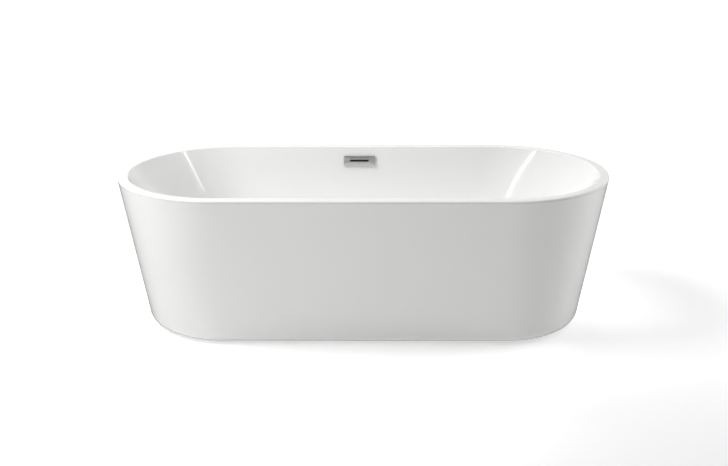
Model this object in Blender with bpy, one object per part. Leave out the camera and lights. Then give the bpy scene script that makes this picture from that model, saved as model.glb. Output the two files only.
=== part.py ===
"""Freestanding double-ended bathtub: an acrylic basin and apron skirt on a steel frame with screw feet.

Metres, +Z up. The origin is on the floor under the centre of the tub. +X runs along the tub and
+Y points at the long wall that carries the overflow. Run it in Blender 4.5.
"""

import math

import bmesh
import bpy
from mathutils import Matrix, Vector

# Overall size and the skirt
TUB_LENGTH = 1.700
TUB_WIDTH = 0.750
TUB_HEIGHT = 0.535
SKIRT_DRAFT = 0.160  # how far the outer wall leans in for each metre down
SKIRT_WALL = 0.005
SKIRT_FLOOR_GAP = 0.005
SKIRT_ROLL = 0.037  # outer radius of the turned-in bottom edge
SKIRT_RETURN = 0.015

# Basin
RIM_WIDTH = 0.0365
RIM_ROUND = 0.006
RIM_LIP = 0.007
BASIN_WALL = 0.005
SIDE_LEAN = 0.25
END_LEAN = 0.55
FLOOR_WALL = 0.008
FLOOR_FALL = 0.004
FLOOR_ROUND = 0.070
BOND_WIDTH = 0.012
BOND_DEPTH = 0.028

# Frame, board and feet
RAIL_SIZE = 0.025
RAIL_WALL = 0.002
RAIL_BASE_Z = 0.095
END_RAIL_INSET = 0.025  # from the end of the tub's straight stretch
MID_RAIL_X = 0.130
SKIRT_PAD_LENGTH = 0.03056  # from the end of an end rail to the skirt
FOOT_INSET = 0.060  # from the end of an end rail
LONG_RAIL_INSET = 0.100
BOARD_THICKNESS = 0.012
BOARD_SIDE_LAP = 0.030  # past the middle of the long rails
BOARD_END_LAP = 0.110  # past the middle of the end rails
SCREW_X = 0.300
SCREW_SHANK = 0.0020
SCREW_HEAD = 0.0045
SCREW_HEAD_HEIGHT = 0.003
SCREW_BITE = 0.009
SCREW_POINT = 0.002
DRIVER_ROOM = 0.0015
ROD_RADIUS = 0.006
ROD_HEX_LAND = 0.002  # spanner flats across, past the rod's diameter
ROD_HEX_HEIGHT = 0.008
ROD_HEX_RISE = 0.002  # above the pad
ROD_TOP_ROOM = 0.007
PAD_RADIUS = 0.025
PAD_HEIGHT = 0.014
PAD_SOLE = 0.005
PAD_NECK_WALL = 0.007
NUT_WALL = 0.0035
NUT_HEIGHT = 0.010
THREAD_CLEARANCE = 0.0003

# Waste and pop-up plug
WASTE_X = -0.018
SLEEVE_RADIUS = 0.0257
SLEEVE_WALL = 0.0037
SLEEVE_LENGTH = 0.0375
WASTE_HOLE_CLEARANCE = 0.0008
FLANGE_LAP = 0.0085  # past the hole in the floor
FLANGE_HEIGHT = 0.0025
RECESS_ROOM = 0.003
RECESS_DEPTH = 0.004
SEAL_HEIGHT = 0.0012
GASKET_HEIGHT = 0.002
LOCKNUT_WALL = 0.010
LOCKNUT_HEIGHT = 0.008
BOARD_HOLE_ROOM = 0.010
BODY_WALL = 0.005
BODY_SOCKET = 0.0187
BODY_LENGTH = 0.0777
BODY_TAPER = 0.005
BODY_SOCKET_BASE = 0.002
BRANCH_DROP = 0.0517  # from the top of the waste body to the overflow branch
BRANCH_LENGTH = 0.033  # out of the barrel
TAIL_CLEARANCE = 0.002  # of the tail pipe inside the barrel
TAIL_WALL = 0.002
TAIL_FLOOR_GAP = 0.008
TAIL_INSERT = 0.020
SLIP_NUT_WALL = 0.0055
SLIP_NUT_HEIGHT = 0.024
SLIP_NUT_GRIP = 0.010  # how far the nut reaches up the waste body
SLIP_WASHER_HEIGHT = 0.0034
PLUG_INSET = 0.004  # of the cap from the edge of the flange
PLUG_HEIGHT = 0.005
PLUG_DOME = ((1, 0.5), (0.93, 0.82), (0.6, 0.97), (0, 1))  # shares of the cap's radius and height
PLUG_OVERHANG = 0.004  # of the cap past its seal
PLUG_LIFT = 0.009
PLUG_STEM = 0.004
PLUG_COLLAR_LAND = 0.0015
PLUG_COLLAR_HEIGHT = 0.0037
GUIDE_DROP = 0.0245
GUIDE_HEIGHT = 0.006
GUIDE_WEB = 0.0035  # plastic left on each side of the guide's water holes

# Overflow
OVERFLOW_DROP = 0.052  # from the rim to the centre of the cover plate
COVER_SIZE = (0.118, 0.035)
COVER_HEIGHT = 0.007
COVER_FACE = 0.0018
COVER_EDGE = 0.003
SLOT_SIZE = (0.071, 0.007)
WINDOW_SIZE = (0.084, 0.014)
CARRIER_HEIGHT = 0.0015
OVERFLOW_SCREW_ROOM = 0.007  # from the end of the window to the screw
OVERFLOW_SCREW_LENGTH = 0.020
HOUSING_LAP = (0.013, 0.008)  # past the window, on each side
HOUSING_DEPTH = 0.0224
HOUSING_BACK = 0.003
HOUSING_EDGE = 0.006
FIT = 0.002  # how much wider an opening or narrower a gasket is than the piece it goes with
SPIGOT_LENGTH = 0.025
SPIGOT_RADIUS = 0.0105
SPIGOT_WALL = 0.002
HOSE_WALL = 0.001
HOSE_BEND_FALL = 0.102  # height and reach of the bend at its foot
HOSE_BEND_REACH = 0.119
HOSE_BEND_HANDLE = 0.064
CLAMP_WALL = 0.0015
CLAMP_WIDTH = 0.009
CLAMP_INSET = 0.004

GAP = 0.0003  # between pieces that touch
EDGE = 0.001  # a broken corner
ARC_STEPS = 24
TURN_STEPS = 24
PIPE_STEPS = 16
SMALL_STEPS = 12
SCREW_STEPS = 8
HOSE_FALL_STEPS = 6
HOSE_BEND_STEPS = 10
SHARP_TURN = 35  # degrees

# Sizes and places that follow from the ones above
HALF_LENGTH = TUB_LENGTH / 2
HALF_WIDTH = TUB_WIDTH / 2
STRAIGHT = HALF_LENGTH - HALF_WIDTH
WIDEST_Z = TUB_HEIGHT - RIM_ROUND
BASIN_HALF_WIDTH = HALF_WIDTH - RIM_WIDTH
BASIN_HALF_LENGTH = HALF_LENGTH - RIM_WIDTH
RAIL_TOP_Z = RAIL_BASE_Z + RAIL_SIZE
RAIL_SKIRT_Y = HALF_WIDTH - SKIRT_WALL - SKIRT_DRAFT * (WIDEST_Z - RAIL_BASE_Z)
END_RAIL_REACH = RAIL_SKIRT_Y - SKIRT_PAD_LENGTH
END_RAIL_X = STRAIGHT - END_RAIL_INSET
LONG_RAIL_Y = END_RAIL_REACH - LONG_RAIL_INSET
FOOT_Y = END_RAIL_REACH - FOOT_INSET
BOARD_HALF_LENGTH = END_RAIL_X + BOARD_END_LAP
BOARD_HALF_WIDTH = LONG_RAIL_Y + BOARD_SIDE_LAP
BOARD_BASE_Z = RAIL_TOP_Z + GAP
FLOOR_BASE_Z = BOARD_BASE_Z + BOARD_THICKNESS + GAP
DRAIN_FLOOR_Z = FLOOR_BASE_Z + FLOOR_WALL
FLOOR_EDGE_Z = DRAIN_FLOOR_Z + FLOOR_FALL
RECESS_Z = DRAIN_FLOOR_Z - RECESS_DEPTH
RECESS_BASE_Z = FLOOR_BASE_Z - RECESS_DEPTH
SLEEVE_BORE = SLEEVE_RADIUS - SLEEVE_WALL
WASTE_HOLE = SLEEVE_RADIUS + WASTE_HOLE_CLEARANCE
FLANGE_RADIUS = WASTE_HOLE + FLANGE_LAP
RECESS_RADIUS = FLANGE_RADIUS + RECESS_ROOM
LOCKNUT_BORE = SLEEVE_RADIUS + THREAD_CLEARANCE + GAP
LOCKNUT_RADIUS = LOCKNUT_BORE + LOCKNUT_WALL
BOARD_HOLE = RECESS_RADIUS + RECESS_DEPTH + BASIN_WALL + BOARD_HOLE_ROOM
FLANGE_BASE_Z = RECESS_Z + SEAL_HEIGHT + 2 * GAP
FLANGE_TOP_Z = FLANGE_BASE_Z + FLANGE_HEIGHT
SLEEVE_END_Z = FLANGE_BASE_Z - SLEEVE_LENGTH
LOCKNUT_TOP_Z = RECESS_BASE_Z - GASKET_HEIGHT - 2 * GAP
BODY_TOP_Z = LOCKNUT_TOP_Z - LOCKNUT_HEIGHT - GAP
BODY_BASE_Z = BODY_TOP_Z - BODY_LENGTH
BODY_RADIUS = SLEEVE_BORE + BODY_WALL
BRANCH_Z = BODY_TOP_Z - BRANCH_DROP
BRANCH_REACH = BODY_RADIUS + BRANCH_LENGTH
TAIL_RADIUS = SLEEVE_BORE - TAIL_CLEARANCE
PLUG_RADIUS = FLANGE_RADIUS - PLUG_INSET
OVERFLOW_SCREW_REACH = WINDOW_SIZE[0] / 2 + OVERFLOW_SCREW_ROOM
HOUSING_SIZE = tuple(side + 2 * lap for side, lap in zip(WINDOW_SIZE, HOUSING_LAP))
SPIGOT_BORE = SPIGOT_RADIUS - SPIGOT_WALL
HOSE_RADIUS = SPIGOT_RADIUS + HOSE_WALL
SPIGOT_SET_BACK = BASIN_WALL + GASKET_HEIGHT + 2 * GAP + HOUSING_DEPTH / 2
FOOT_PLACES = [(x, y) for x in (-END_RAIL_X, END_RAIL_X) for y in (-FOOT_Y, FOOT_Y)]

FINISHES = {
    "white_acrylic": ((0.90, 0.90, 0.91), 0.12, 0.0),
    "resin_bond": ((0.78, 0.76, 0.70), 0.55, 0.0),
    "plywood": ((0.62, 0.47, 0.30), 0.75, 0.0),
    "zinc_steel": ((0.62, 0.63, 0.65), 0.42, 1.0),
    "powder_coat": ((0.16, 0.17, 0.18), 0.55, 0.0),
    "black_rubber": ((0.03, 0.03, 0.03), 0.80, 0.0),
    "chromed_brass": ((0.80, 0.80, 0.82), 0.10, 1.0),
    "satin_steel": ((0.62, 0.62, 0.63), 0.35, 1.0),
    "grey_plastic": ((0.45, 0.46, 0.48), 0.50, 0.0),
    "white_plastic": ((0.82, 0.82, 0.81), 0.45, 0.0),
}


def clear_scene():
    for obj in list(bpy.data.objects):
        bpy.data.objects.remove(obj, do_unlink=True)


def finish(name):
    """The named finish, made the first time it is asked for."""
    if name in bpy.data.materials:
        return bpy.data.materials[name]
    colour, roughness, metallic = FINISHES[name]
    material = bpy.data.materials.new(name)
    material.use_nodes = True
    shader = material.node_tree.nodes["Principled BSDF"]
    shader.inputs["Base Color"].default_value = (*colour, 1.0)
    shader.inputs["Roughness"].default_value = roughness
    shader.inputs["Metallic"].default_value = metallic
    return material


def place(name, mesh, coat, location=(0, 0, 0), parent=None):
    """An object of the mesh, in the finish, at a place under its parent."""
    if not mesh.materials:
        mesh.materials.append(finish(coat))
    obj = bpy.data.objects.new(name, mesh)
    obj.location = location
    obj.parent = parent
    bpy.context.scene.collection.objects.link(obj)
    return obj


def empty(name, location, rotation=(0, 0, 0)):
    marker = bpy.data.objects.new(name, None)
    marker.location = location
    marker.rotation_euler = rotation
    marker.empty_display_size = 0.05
    bpy.context.scene.collection.objects.link(marker)
    return marker


# ---------------------------------------------------------------- outlines


def tub_outline(half_length, half_width, z, centre_x=0.0):
    """Points around two half circles joined by straight sides, or around a circle if both sizes agree."""
    straight = half_length - half_width
    points = []
    for side in (1, -1):
        for step in range(ARC_STEPS + 1):
            angle = math.pi * (step / ARC_STEPS - 0.5)
            across = straight + half_width * math.cos(angle)
            points.append((centre_x + side * across, side * half_width * math.sin(angle), z))
    return points


def circle(radius, z, steps=TURN_STEPS):
    angles = [2 * math.pi * step / steps for step in range(steps)]
    return [(radius * math.cos(a), radius * math.sin(a), z) for a in angles]


def hexagon(flats, z, steps=SMALL_STEPS):
    """A hexagon with extra points along its sides, so that it lofts to a circle."""
    points = []
    for step in range(steps):
        angle = 2 * math.pi * step / steps
        from_corner = (angle + math.pi / 6) % (math.pi / 3) - math.pi / 6
        radius = flats / 2 / math.cos(math.pi / 6 - abs(from_corner))
        points.append((radius * math.cos(angle), radius * math.sin(angle), z))
    return points


def rectangle(width, height, z):
    return [(x * width / 2, y * height / 2, z) for x, y in ((-1, -1), (1, -1), (1, 1), (-1, 1))]


def rounded_slot(width, height, z, steps=8):
    """A slot with half-round ends, lying flat at z."""
    radius = height / 2
    points = []
    for side in (1, -1):
        for step in range(steps + 1):
            angle = math.pi * (step / steps - 0.5)
            across = width / 2 - radius + radius * math.cos(angle)
            points.append((side * across, side * radius * math.sin(angle), z))
    return points


# ---------------------------------------------------------------- solids


def loft(name, rings, ends="capped"):
    """A closed mesh through the rings. Its ends are capped, joined to each other or drawn to points."""
    work = bmesh.new()
    loops = [[work.verts.new(point) for point in ring] for ring in rings]
    pairs = list(zip(loops, loops[1:]))
    if ends == "joined":
        pairs.append((loops[-1], loops[0]))
    for lower, upper in pairs:
        for i in range(len(lower)):
            j = (i + 1) % len(lower)
            work.faces.new((lower[i], lower[j], upper[j], upper[i]))
    if ends == "capped":
        work.faces.new(loops[0])
        work.faces.new(loops[-1])
    bmesh.ops.remove_doubles(work, verts=work.verts, dist=1e-6)
    bmesh.ops.recalc_face_normals(work, faces=work.faces)
    mesh = bpy.data.meshes.new(name)
    work.to_mesh(mesh)
    work.free()
    mesh.shade_smooth()
    mesh.set_sharp_from_angle(angle=math.radians(SHARP_TURN))
    return mesh


def turned(name, profile, steps=TURN_STEPS, ends="joined"):
    """A piece turned about Z from (radius, z) pairs, which start and end on the axis if it has no bore."""
    return loft(name, [circle(radius, z, steps) for radius, z in profile], ends)


def washer(name, inner, outer, base, height, steps=TURN_STEPS):
    top = base + height
    return turned(name, [(outer, base), (outer, top), (inner, top), (inner, base)], steps=steps)


def rounded_slot_solid(name, size, base, height):
    return loft(name, [rounded_slot(*size, base), rounded_slot(*size, base + height)])


def box_solid(name, size, base, height):
    return loft(name, [rectangle(*size, base), rectangle(*size, base + height)])


def rod_solid(name, radius, base, height, steps=TURN_STEPS):
    return loft(name, [circle(radius, base, steps), circle(radius, base + height, steps)])


def moved(mesh, offset=(0, 0, 0), turn=(0, 0, 0)):
    """The mesh turned about the axes in degrees, then shifted."""
    matrix = Matrix.Translation(offset)
    for axis, degrees in zip("XYZ", turn):
        matrix = matrix @ Matrix.Rotation(math.radians(degrees), 4, axis)
    mesh.transform(matrix)
    return mesh


def combine(target, mesh, operation, parent=None):
    """Joins the mesh to the target or cuts it away, through a hidden tool object."""
    tool = bpy.data.objects.new(mesh.name, mesh)
    tool.parent = parent
    tool.hide_render = True
    tool.display_type = "WIRE"
    bpy.context.scene.collection.objects.link(tool)
    step = target.modifiers.new(mesh.name, "BOOLEAN")
    step.object = tool
    step.operation = operation
    step.solver = "EXACT"


def cut(target, mesh, parent=None):
    combine(target, mesh, "DIFFERENCE", parent)


def join(target, mesh, parent=None):
    combine(target, mesh, "UNION", parent)


# ---------------------------------------------------------------- basin and skirt


def wall_reach(z, top_reach, lean, floor_z, radius, top_z=TUB_HEIGHT):
    """How far out a wall stands at z: straight and leaning, then an arc that runs into the floor."""
    slant = math.hypot(1, lean)
    arc_z = floor_z + radius
    if z >= arc_z - radius * lean / slant:
        return top_reach - lean * (top_z - z)
    arc_reach = top_reach - lean * (top_z - arc_z) - radius * slant
    return arc_reach + math.sqrt(max(0.0, radius**2 - (arc_z - z) ** 2))


def arc_levels(floor_z, radius, lean, steps=6):
    """Heights of the rings through the arc at the foot of a wall, from the floor up."""
    top_turn = math.pi / 2 - math.atan(lean)
    return [floor_z + radius * (1 - math.cos(top_turn * i / steps)) for i in range(steps + 1)]


def basin_ring(z, offset, floor_z, radius):
    """A ring of the basin's wet face, or of its back with the wall as offset."""
    half_length = BASIN_HALF_LENGTH + offset * math.hypot(1, END_LEAN)
    half_width = BASIN_HALF_WIDTH + offset * math.hypot(1, SIDE_LEAN)
    return tub_outline(
        wall_reach(z, half_length, END_LEAN, floor_z, radius),
        wall_reach(z, half_width, SIDE_LEAN, floor_z, radius),
        z,
    )


def skirt_half_width(z, inset=0.0):
    """Half the width of the tub's outer face at z, or of a face set in from it."""
    return HALF_WIDTH - inset * math.hypot(1, SKIRT_DRAFT) - SKIRT_DRAFT * (WIDEST_Z - z)


def rim_ring(z, inset=0.0):
    reach = skirt_half_width(z, inset)
    return tub_outline(STRAIGHT + reach, reach, z)


def rim_round_rings(centre_inset, turns, side):
    """Rings over a rounded edge of the rim. side is 1 for the outer edge and -1 for the inner one."""
    rings = []
    for turn in turns:
        angle = math.radians(turn)
        inset = centre_inset - side * RIM_ROUND * math.sin(angle)
        z = TUB_HEIGHT - RIM_ROUND * (1 - math.cos(angle))
        rings.append(tub_outline(HALF_LENGTH - inset, HALF_WIDTH - inset, z))
    return rings


def waste_ring(radius, z):
    return tub_outline(radius, radius, z, WASTE_X)


def make_basin():
    wet = [basin_ring(z, 0.0, FLOOR_EDGE_Z, FLOOR_ROUND)
           for z in arc_levels(FLOOR_EDGE_Z, FLOOR_ROUND, SIDE_LEAN)]
    wet.append(basin_ring(WIDEST_Z, 0.0, FLOOR_EDGE_Z, FLOOR_ROUND))
    rim = rim_round_rings(RIM_WIDTH - RIM_ROUND, (60, 30, 0), -1)
    rim += rim_round_rings(RIM_ROUND, (0, 30, 60), 1)
    lip_z = TUB_HEIGHT - RIM_LIP
    rim += [rim_ring(WIDEST_Z), rim_ring(lip_z), rim_ring(lip_z, BASIN_WALL)]
    under_z = TUB_HEIGHT - BASIN_WALL
    rim.append(rim_ring(under_z, BASIN_WALL))
    back_round = FLOOR_ROUND + BASIN_WALL
    back = [basin_ring(under_z, BASIN_WALL, FLOOR_BASE_Z, back_round)]
    back += [basin_ring(z, BASIN_WALL, FLOOR_BASE_Z, back_round)
             for z in reversed(arc_levels(FLOOR_BASE_Z, back_round, SIDE_LEAN))]
    rings = [waste_ring(WASTE_HOLE, RECESS_Z), waste_ring(RECESS_RADIUS, RECESS_Z)]
    rings.append(waste_ring(RECESS_RADIUS + RECESS_DEPTH, DRAIN_FLOOR_Z))
    rings += wet + rim + back
    recess_back = RECESS_RADIUS + RECESS_DEPTH + BASIN_WALL
    rings += [waste_ring(recess_back, FLOOR_BASE_Z), waste_ring(recess_back - RECESS_DEPTH, RECESS_BASE_Z)]
    rings.append(waste_ring(WASTE_HOLE, RECESS_BASE_Z))
    return place("inner_basin", loft("inner_basin", rings, ends="joined"), "white_acrylic")


def skirt_rings(inset, floor_z, radius):
    """Rings of the skirt's outer face from the top down, or of its inner face with the wall as inset."""
    top_z = TUB_HEIGHT - RIM_LIP - GAP
    top_reach = HALF_WIDTH - inset * math.hypot(1, SKIRT_DRAFT)
    levels = [top_z, *reversed(arc_levels(floor_z, radius, SKIRT_DRAFT, steps=5))]
    reaches = [wall_reach(z, top_reach, SKIRT_DRAFT, floor_z, radius, WIDEST_Z) for z in levels]
    levels.append(floor_z)
    outer_foot = wall_reach(SKIRT_FLOOR_GAP, HALF_WIDTH, SKIRT_DRAFT, SKIRT_FLOOR_GAP, SKIRT_ROLL, WIDEST_Z)
    reaches.append(outer_foot - SKIRT_RETURN)
    return [tub_outline(STRAIGHT + reach, reach, z) for reach, z in zip(reaches, levels)]


def make_skirt():
    outer = skirt_rings(0.0, SKIRT_FLOOR_GAP, SKIRT_ROLL)
    inner = skirt_rings(SKIRT_WALL, SKIRT_FLOOR_GAP + SKIRT_WALL, SKIRT_ROLL - SKIRT_WALL)
    place("outer_skirt", loft("outer_skirt", outer + inner[::-1], ends="joined"), "white_acrylic")


def make_rim_bond():
    """The resin fillet that joins the skirt to the back of the rim."""
    near = max(BASIN_WALL, SKIRT_WALL) + GAP
    top_z = TUB_HEIGHT - BASIN_WALL - GAP
    base_z = top_z - BOND_DEPTH
    corners = ((base_z, near), (top_z, near), (top_z, near + BOND_WIDTH), (base_z, near + BOND_WIDTH / 2))
    rings = [rim_ring(z, inset) for z, inset in corners]
    place("rim_bond", loft("rim_bond", rings, ends="joined"), "resin_bond")


# ---------------------------------------------------------------- frame, board and feet


def square_tube(name, length):
    """A square tube along X, centred on the origin and open at both ends."""
    rings = []
    for side, size in ((-1, RAIL_SIZE), (1, RAIL_SIZE), (1, RAIL_SIZE - 2 * RAIL_WALL),
                       (-1, RAIL_SIZE - 2 * RAIL_WALL)):
        rings.append([(side * length / 2, y, z) for y, z, _ in rectangle(size, size, 0)])
    return loft(name, rings, ends="joined")


def make_frame():
    rail_z = RAIL_BASE_Z + RAIL_SIZE / 2
    long_length = 2 * (END_RAIL_X - RAIL_SIZE / 2 - GAP)
    mid_length = 2 * (LONG_RAIL_Y - RAIL_SIZE / 2 - GAP)
    for side, word in ((-1, "front"), (1, "back")):
        mesh = square_tube(f"frame_rail_{word}", long_length)
        rail = place(mesh.name, mesh, "powder_coat", (0, side * LONG_RAIL_Y, rail_z))
        for x in (-SCREW_X, SCREW_X):
            drill_for_board_screw(rail, x, side * LONG_RAIL_Y)
    for side, word in ((-1, "left"), (1, "right")):
        mesh = moved(square_tube(f"end_rail_{word}", 2 * END_RAIL_REACH), turn=(0, 0, 90))
        rail = place(mesh.name, mesh, "powder_coat", (side * END_RAIL_X, 0, rail_z))
        for y in (-FOOT_Y, FOOT_Y):
            hole = rod_solid(f"rod_hole_{word}", ROD_RADIUS + 4 * THREAD_CLEARANCE, RAIL_BASE_Z - GAP,
                             RAIL_SIZE / 2, SMALL_STEPS)
            cut(rail, moved(hole, (side * END_RAIL_X, y, 0)))
        mesh = moved(square_tube(f"mid_rail_{word}", mid_length), turn=(0, 0, 90))
        place(mesh.name, mesh, "powder_coat", (side * MID_RAIL_X, 0, rail_z))


def drill_for_board_screw(rail, x, y):
    """A wide hole for the driver in the lower wall and a close one for the shank in the upper wall."""
    access = rod_solid("driver_hole", SCREW_HEAD + DRIVER_ROOM, RAIL_BASE_Z - GAP, RAIL_SIZE / 2, SMALL_STEPS)
    shank = rod_solid("shank_hole", SCREW_SHANK + GAP, RAIL_TOP_Z - RAIL_SIZE / 4, RAIL_SIZE / 2, SMALL_STEPS)
    cut(rail, moved(access, (x, y, 0)))
    cut(rail, moved(shank, (x, y, 0)))


def make_board():
    base, top = BOARD_BASE_Z, BOARD_BASE_Z + BOARD_THICKNESS
    rings = [tub_outline(BOARD_HALF_LENGTH, BOARD_HALF_WIDTH, base),
             tub_outline(BOARD_HALF_LENGTH, BOARD_HALF_WIDTH, top),
             waste_ring(BOARD_HOLE, top), waste_ring(BOARD_HOLE, base)]
    board = place("base_board", loft("base_board", rings, ends="joined"), "plywood")
    for x in (-SCREW_X, SCREW_X):
        for y in (-LONG_RAIL_Y, LONG_RAIL_Y):
            pilot = rod_solid("pilot_hole", SCREW_SHANK + GAP, base - GAP, SCREW_BITE + 2 * GAP, SMALL_STEPS)
            cut(board, moved(pilot, (x, y, 0)))


def make_board_screws():
    under_z = RAIL_TOP_Z - RAIL_WALL - GAP
    profile = [(0, under_z - SCREW_HEAD_HEIGHT), (SCREW_HEAD - EDGE, under_z - SCREW_HEAD_HEIGHT),
               (SCREW_HEAD, under_z - SCREW_HEAD_HEIGHT + EDGE), (SCREW_HEAD, under_z),
               (SCREW_SHANK, under_z), (SCREW_SHANK, BOARD_BASE_Z + SCREW_BITE - SCREW_POINT),
               (0, BOARD_BASE_Z + SCREW_BITE)]
    mesh = turned("board_screw", profile, SCREW_STEPS, "points")
    places = [(x, y) for x in (-SCREW_X, SCREW_X) for y in (-LONG_RAIL_Y, LONG_RAIL_Y)]
    for number, (x, y) in enumerate(places, 1):
        place(f"board_screw_{number}", mesh, "zinc_steel", (x, y, 0))


def make_skirt_pads():
    """Resin pads that tie the ends of the end rails to the straight stretch of the skirt."""
    half = RAIL_SIZE / 2
    corners = ((-half, RAIL_BASE_Z), (half, RAIL_BASE_Z), (half, RAIL_TOP_Z), (-half, RAIL_TOP_Z))
    places = [(x, y) for x in (-1, 1) for y in (-1, 1)]
    for number, (side_x, side_y) in enumerate(places, 1):
        near = [(side_x * END_RAIL_X + x, side_y * (END_RAIL_REACH + GAP), z) for x, z in corners]
        far = [(side_x * END_RAIL_X + x, side_y * (skirt_half_width(z, SKIRT_WALL) - GAP), z)
               for x, z in corners]
        name = f"skirt_bond_pad_{number}"
        place(name, loft(name, [near, far]), "resin_bond")


def make_feet():
    nut_top = RAIL_BASE_Z - GAP
    rod_top = RAIL_TOP_Z - RAIL_WALL - ROD_TOP_ROOM
    hex_z = PAD_HEIGHT + ROD_HEX_RISE
    rod_hex = 2 * ROD_RADIUS + ROD_HEX_LAND
    socket = ROD_RADIUS + 2 * GAP
    neck = ROD_RADIUS + PAD_NECK_WALL
    sole = turned("foot_pad", [(PAD_RADIUS - EDGE, 0), (PAD_RADIUS, EDGE), (PAD_RADIUS, PAD_SOLE),
                               (neck, PAD_HEIGHT), (socket, PAD_HEIGHT), (socket, PAD_SOLE),
                               (0, PAD_SOLE), (0, 0)], PIPE_STEPS)
    stages = ((circle, ROD_RADIUS - EDGE, PAD_SOLE + GAP), (circle, ROD_RADIUS, PAD_SOLE + GAP + EDGE),
              (circle, ROD_RADIUS, hex_z), (hexagon, rod_hex, hex_z),
              (hexagon, rod_hex, hex_z + ROD_HEX_HEIGHT), (circle, ROD_RADIUS, hex_z + ROD_HEX_HEIGHT),
              (circle, ROD_RADIUS, rod_top - EDGE), (circle, ROD_RADIUS - EDGE, rod_top))
    rod_rings = [outline(size, z, SMALL_STEPS) for outline, size, z in stages]
    rod = loft("foot_rod", rod_rings)
    weld_nut = nut("foot_weld_nut", nut_top - NUT_HEIGHT)
    jam_nut = nut("foot_jam_nut", nut_top - 2 * NUT_HEIGHT - GAP)
    for number, (x, y) in enumerate(FOOT_PLACES, 1):
        axis = empty(f"foot_axis_{number}", (x, y, 0))
        place(f"foot_pad_{number}", sole, "black_rubber", parent=axis)
        place(f"foot_rod_{number}", rod, "zinc_steel", parent=axis)
        place(f"foot_weld_nut_{number}", weld_nut, "zinc_steel", parent=axis)
        place(f"foot_jam_nut_{number}", jam_nut, "zinc_steel", parent=axis)


def nut(name, base):
    bore = ROD_RADIUS + THREAD_CLEARANCE
    top = base + NUT_HEIGHT
    flats = 2 * (ROD_RADIUS + NUT_WALL)
    return loft(name, [hexagon(flats, base), hexagon(flats, top), circle(bore, top, SMALL_STEPS),
                       circle(bore, base, SMALL_STEPS)], ends="joined")


# ---------------------------------------------------------------- waste and plug


def make_waste():
    axis = empty("waste_axis", (WASTE_X, 0, 0))

    def put(mesh, coat):
        return place(mesh.name, mesh, coat, parent=axis)

    hole_seal = WASTE_HOLE + GAP
    put(washer("flange_seal", hole_seal, FLANGE_RADIUS - EDGE, RECESS_Z + GAP, SEAL_HEIGHT), "black_rubber")
    put(turned("drain_flange", [
        (SLEEVE_BORE, SLEEVE_END_Z), (SLEEVE_RADIUS, SLEEVE_END_Z), (SLEEVE_RADIUS, FLANGE_BASE_Z),
        (FLANGE_RADIUS, FLANGE_BASE_Z), (FLANGE_RADIUS, FLANGE_TOP_Z - EDGE),
        (FLANGE_RADIUS - EDGE, FLANGE_TOP_Z), (SLEEVE_BORE + EDGE, FLANGE_TOP_Z),
        (SLEEVE_BORE, FLANGE_TOP_Z - EDGE)]), "chromed_brass")
    put(washer("lower_gasket", hole_seal, LOCKNUT_RADIUS - EDGE, RECESS_BASE_Z - GAP - GASKET_HEIGHT,
               GASKET_HEIGHT), "black_rubber")
    put(washer("drain_locknut", LOCKNUT_BORE, LOCKNUT_RADIUS, LOCKNUT_TOP_Z - LOCKNUT_HEIGHT,
               LOCKNUT_HEIGHT), "white_plastic")
    make_waste_body(put)
    make_tail(put)
    make_plug(put)


def make_waste_body(put):
    """The tee under the floor: a socket on the sleeve, a straight barrel and the branch for the hose."""
    socket_z = BODY_TOP_Z - BODY_SOCKET
    shoulder_z = socket_z - BODY_SOCKET_BASE
    socket_radius = LOCKNUT_BORE + BODY_WALL
    body = put(turned("drain_body", [
        (SLEEVE_BORE, BODY_BASE_Z), (BODY_RADIUS, BODY_BASE_Z), (BODY_RADIUS, shoulder_z - BODY_TAPER),
        (socket_radius, shoulder_z), (socket_radius, BODY_TOP_Z), (LOCKNUT_BORE, BODY_TOP_Z),
        (LOCKNUT_BORE, socket_z), (SLEEVE_BORE, socket_z)]), "white_plastic")
    inside_wall = SLEEVE_BORE + BODY_WALL / 2
    branch = rod_solid("branch", SPIGOT_RADIUS, inside_wall, BRANCH_REACH - inside_wall, PIPE_STEPS)
    join(body, moved(branch, (0, 0, BRANCH_Z), (-90, 0, 0)), body.parent)
    branch_bore = rod_solid("branch_bore", SPIGOT_BORE, SLEEVE_BORE / 2, BRANCH_REACH, PIPE_STEPS)
    cut(body, moved(branch_bore, (0, 0, BRANCH_Z), (-90, 0, 0)), body.parent)


def make_tail(put):
    """The tail pipe and the slip nut that squeezes its washer against the foot of the waste body."""
    put(washer("tailpiece", TAIL_RADIUS - TAIL_WALL, TAIL_RADIUS, TAIL_FLOOR_GAP,
               BODY_BASE_Z + TAIL_INSERT - TAIL_FLOOR_GAP), "white_plastic")
    washer_z = BODY_BASE_Z - GAP - SLIP_WASHER_HEIGHT
    pipe_bore = TAIL_RADIUS + GAP
    put(washer("slip_washer", pipe_bore, BODY_RADIUS, washer_z, SLIP_WASHER_HEIGHT), "black_rubber")
    shoulder_z = washer_z - GAP
    top_z = BODY_BASE_Z + SLIP_NUT_GRIP
    thread_bore = BODY_RADIUS + THREAD_CLEARANCE + GAP
    nut_radius = thread_bore + SLIP_NUT_WALL
    put(turned("slip_nut", [
        (pipe_bore, top_z - SLIP_NUT_HEIGHT), (nut_radius, top_z - SLIP_NUT_HEIGHT),
        (nut_radius, top_z), (thread_bore, top_z), (thread_bore, shoulder_z),
        (pipe_bore, shoulder_z)]), "white_plastic")


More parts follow.
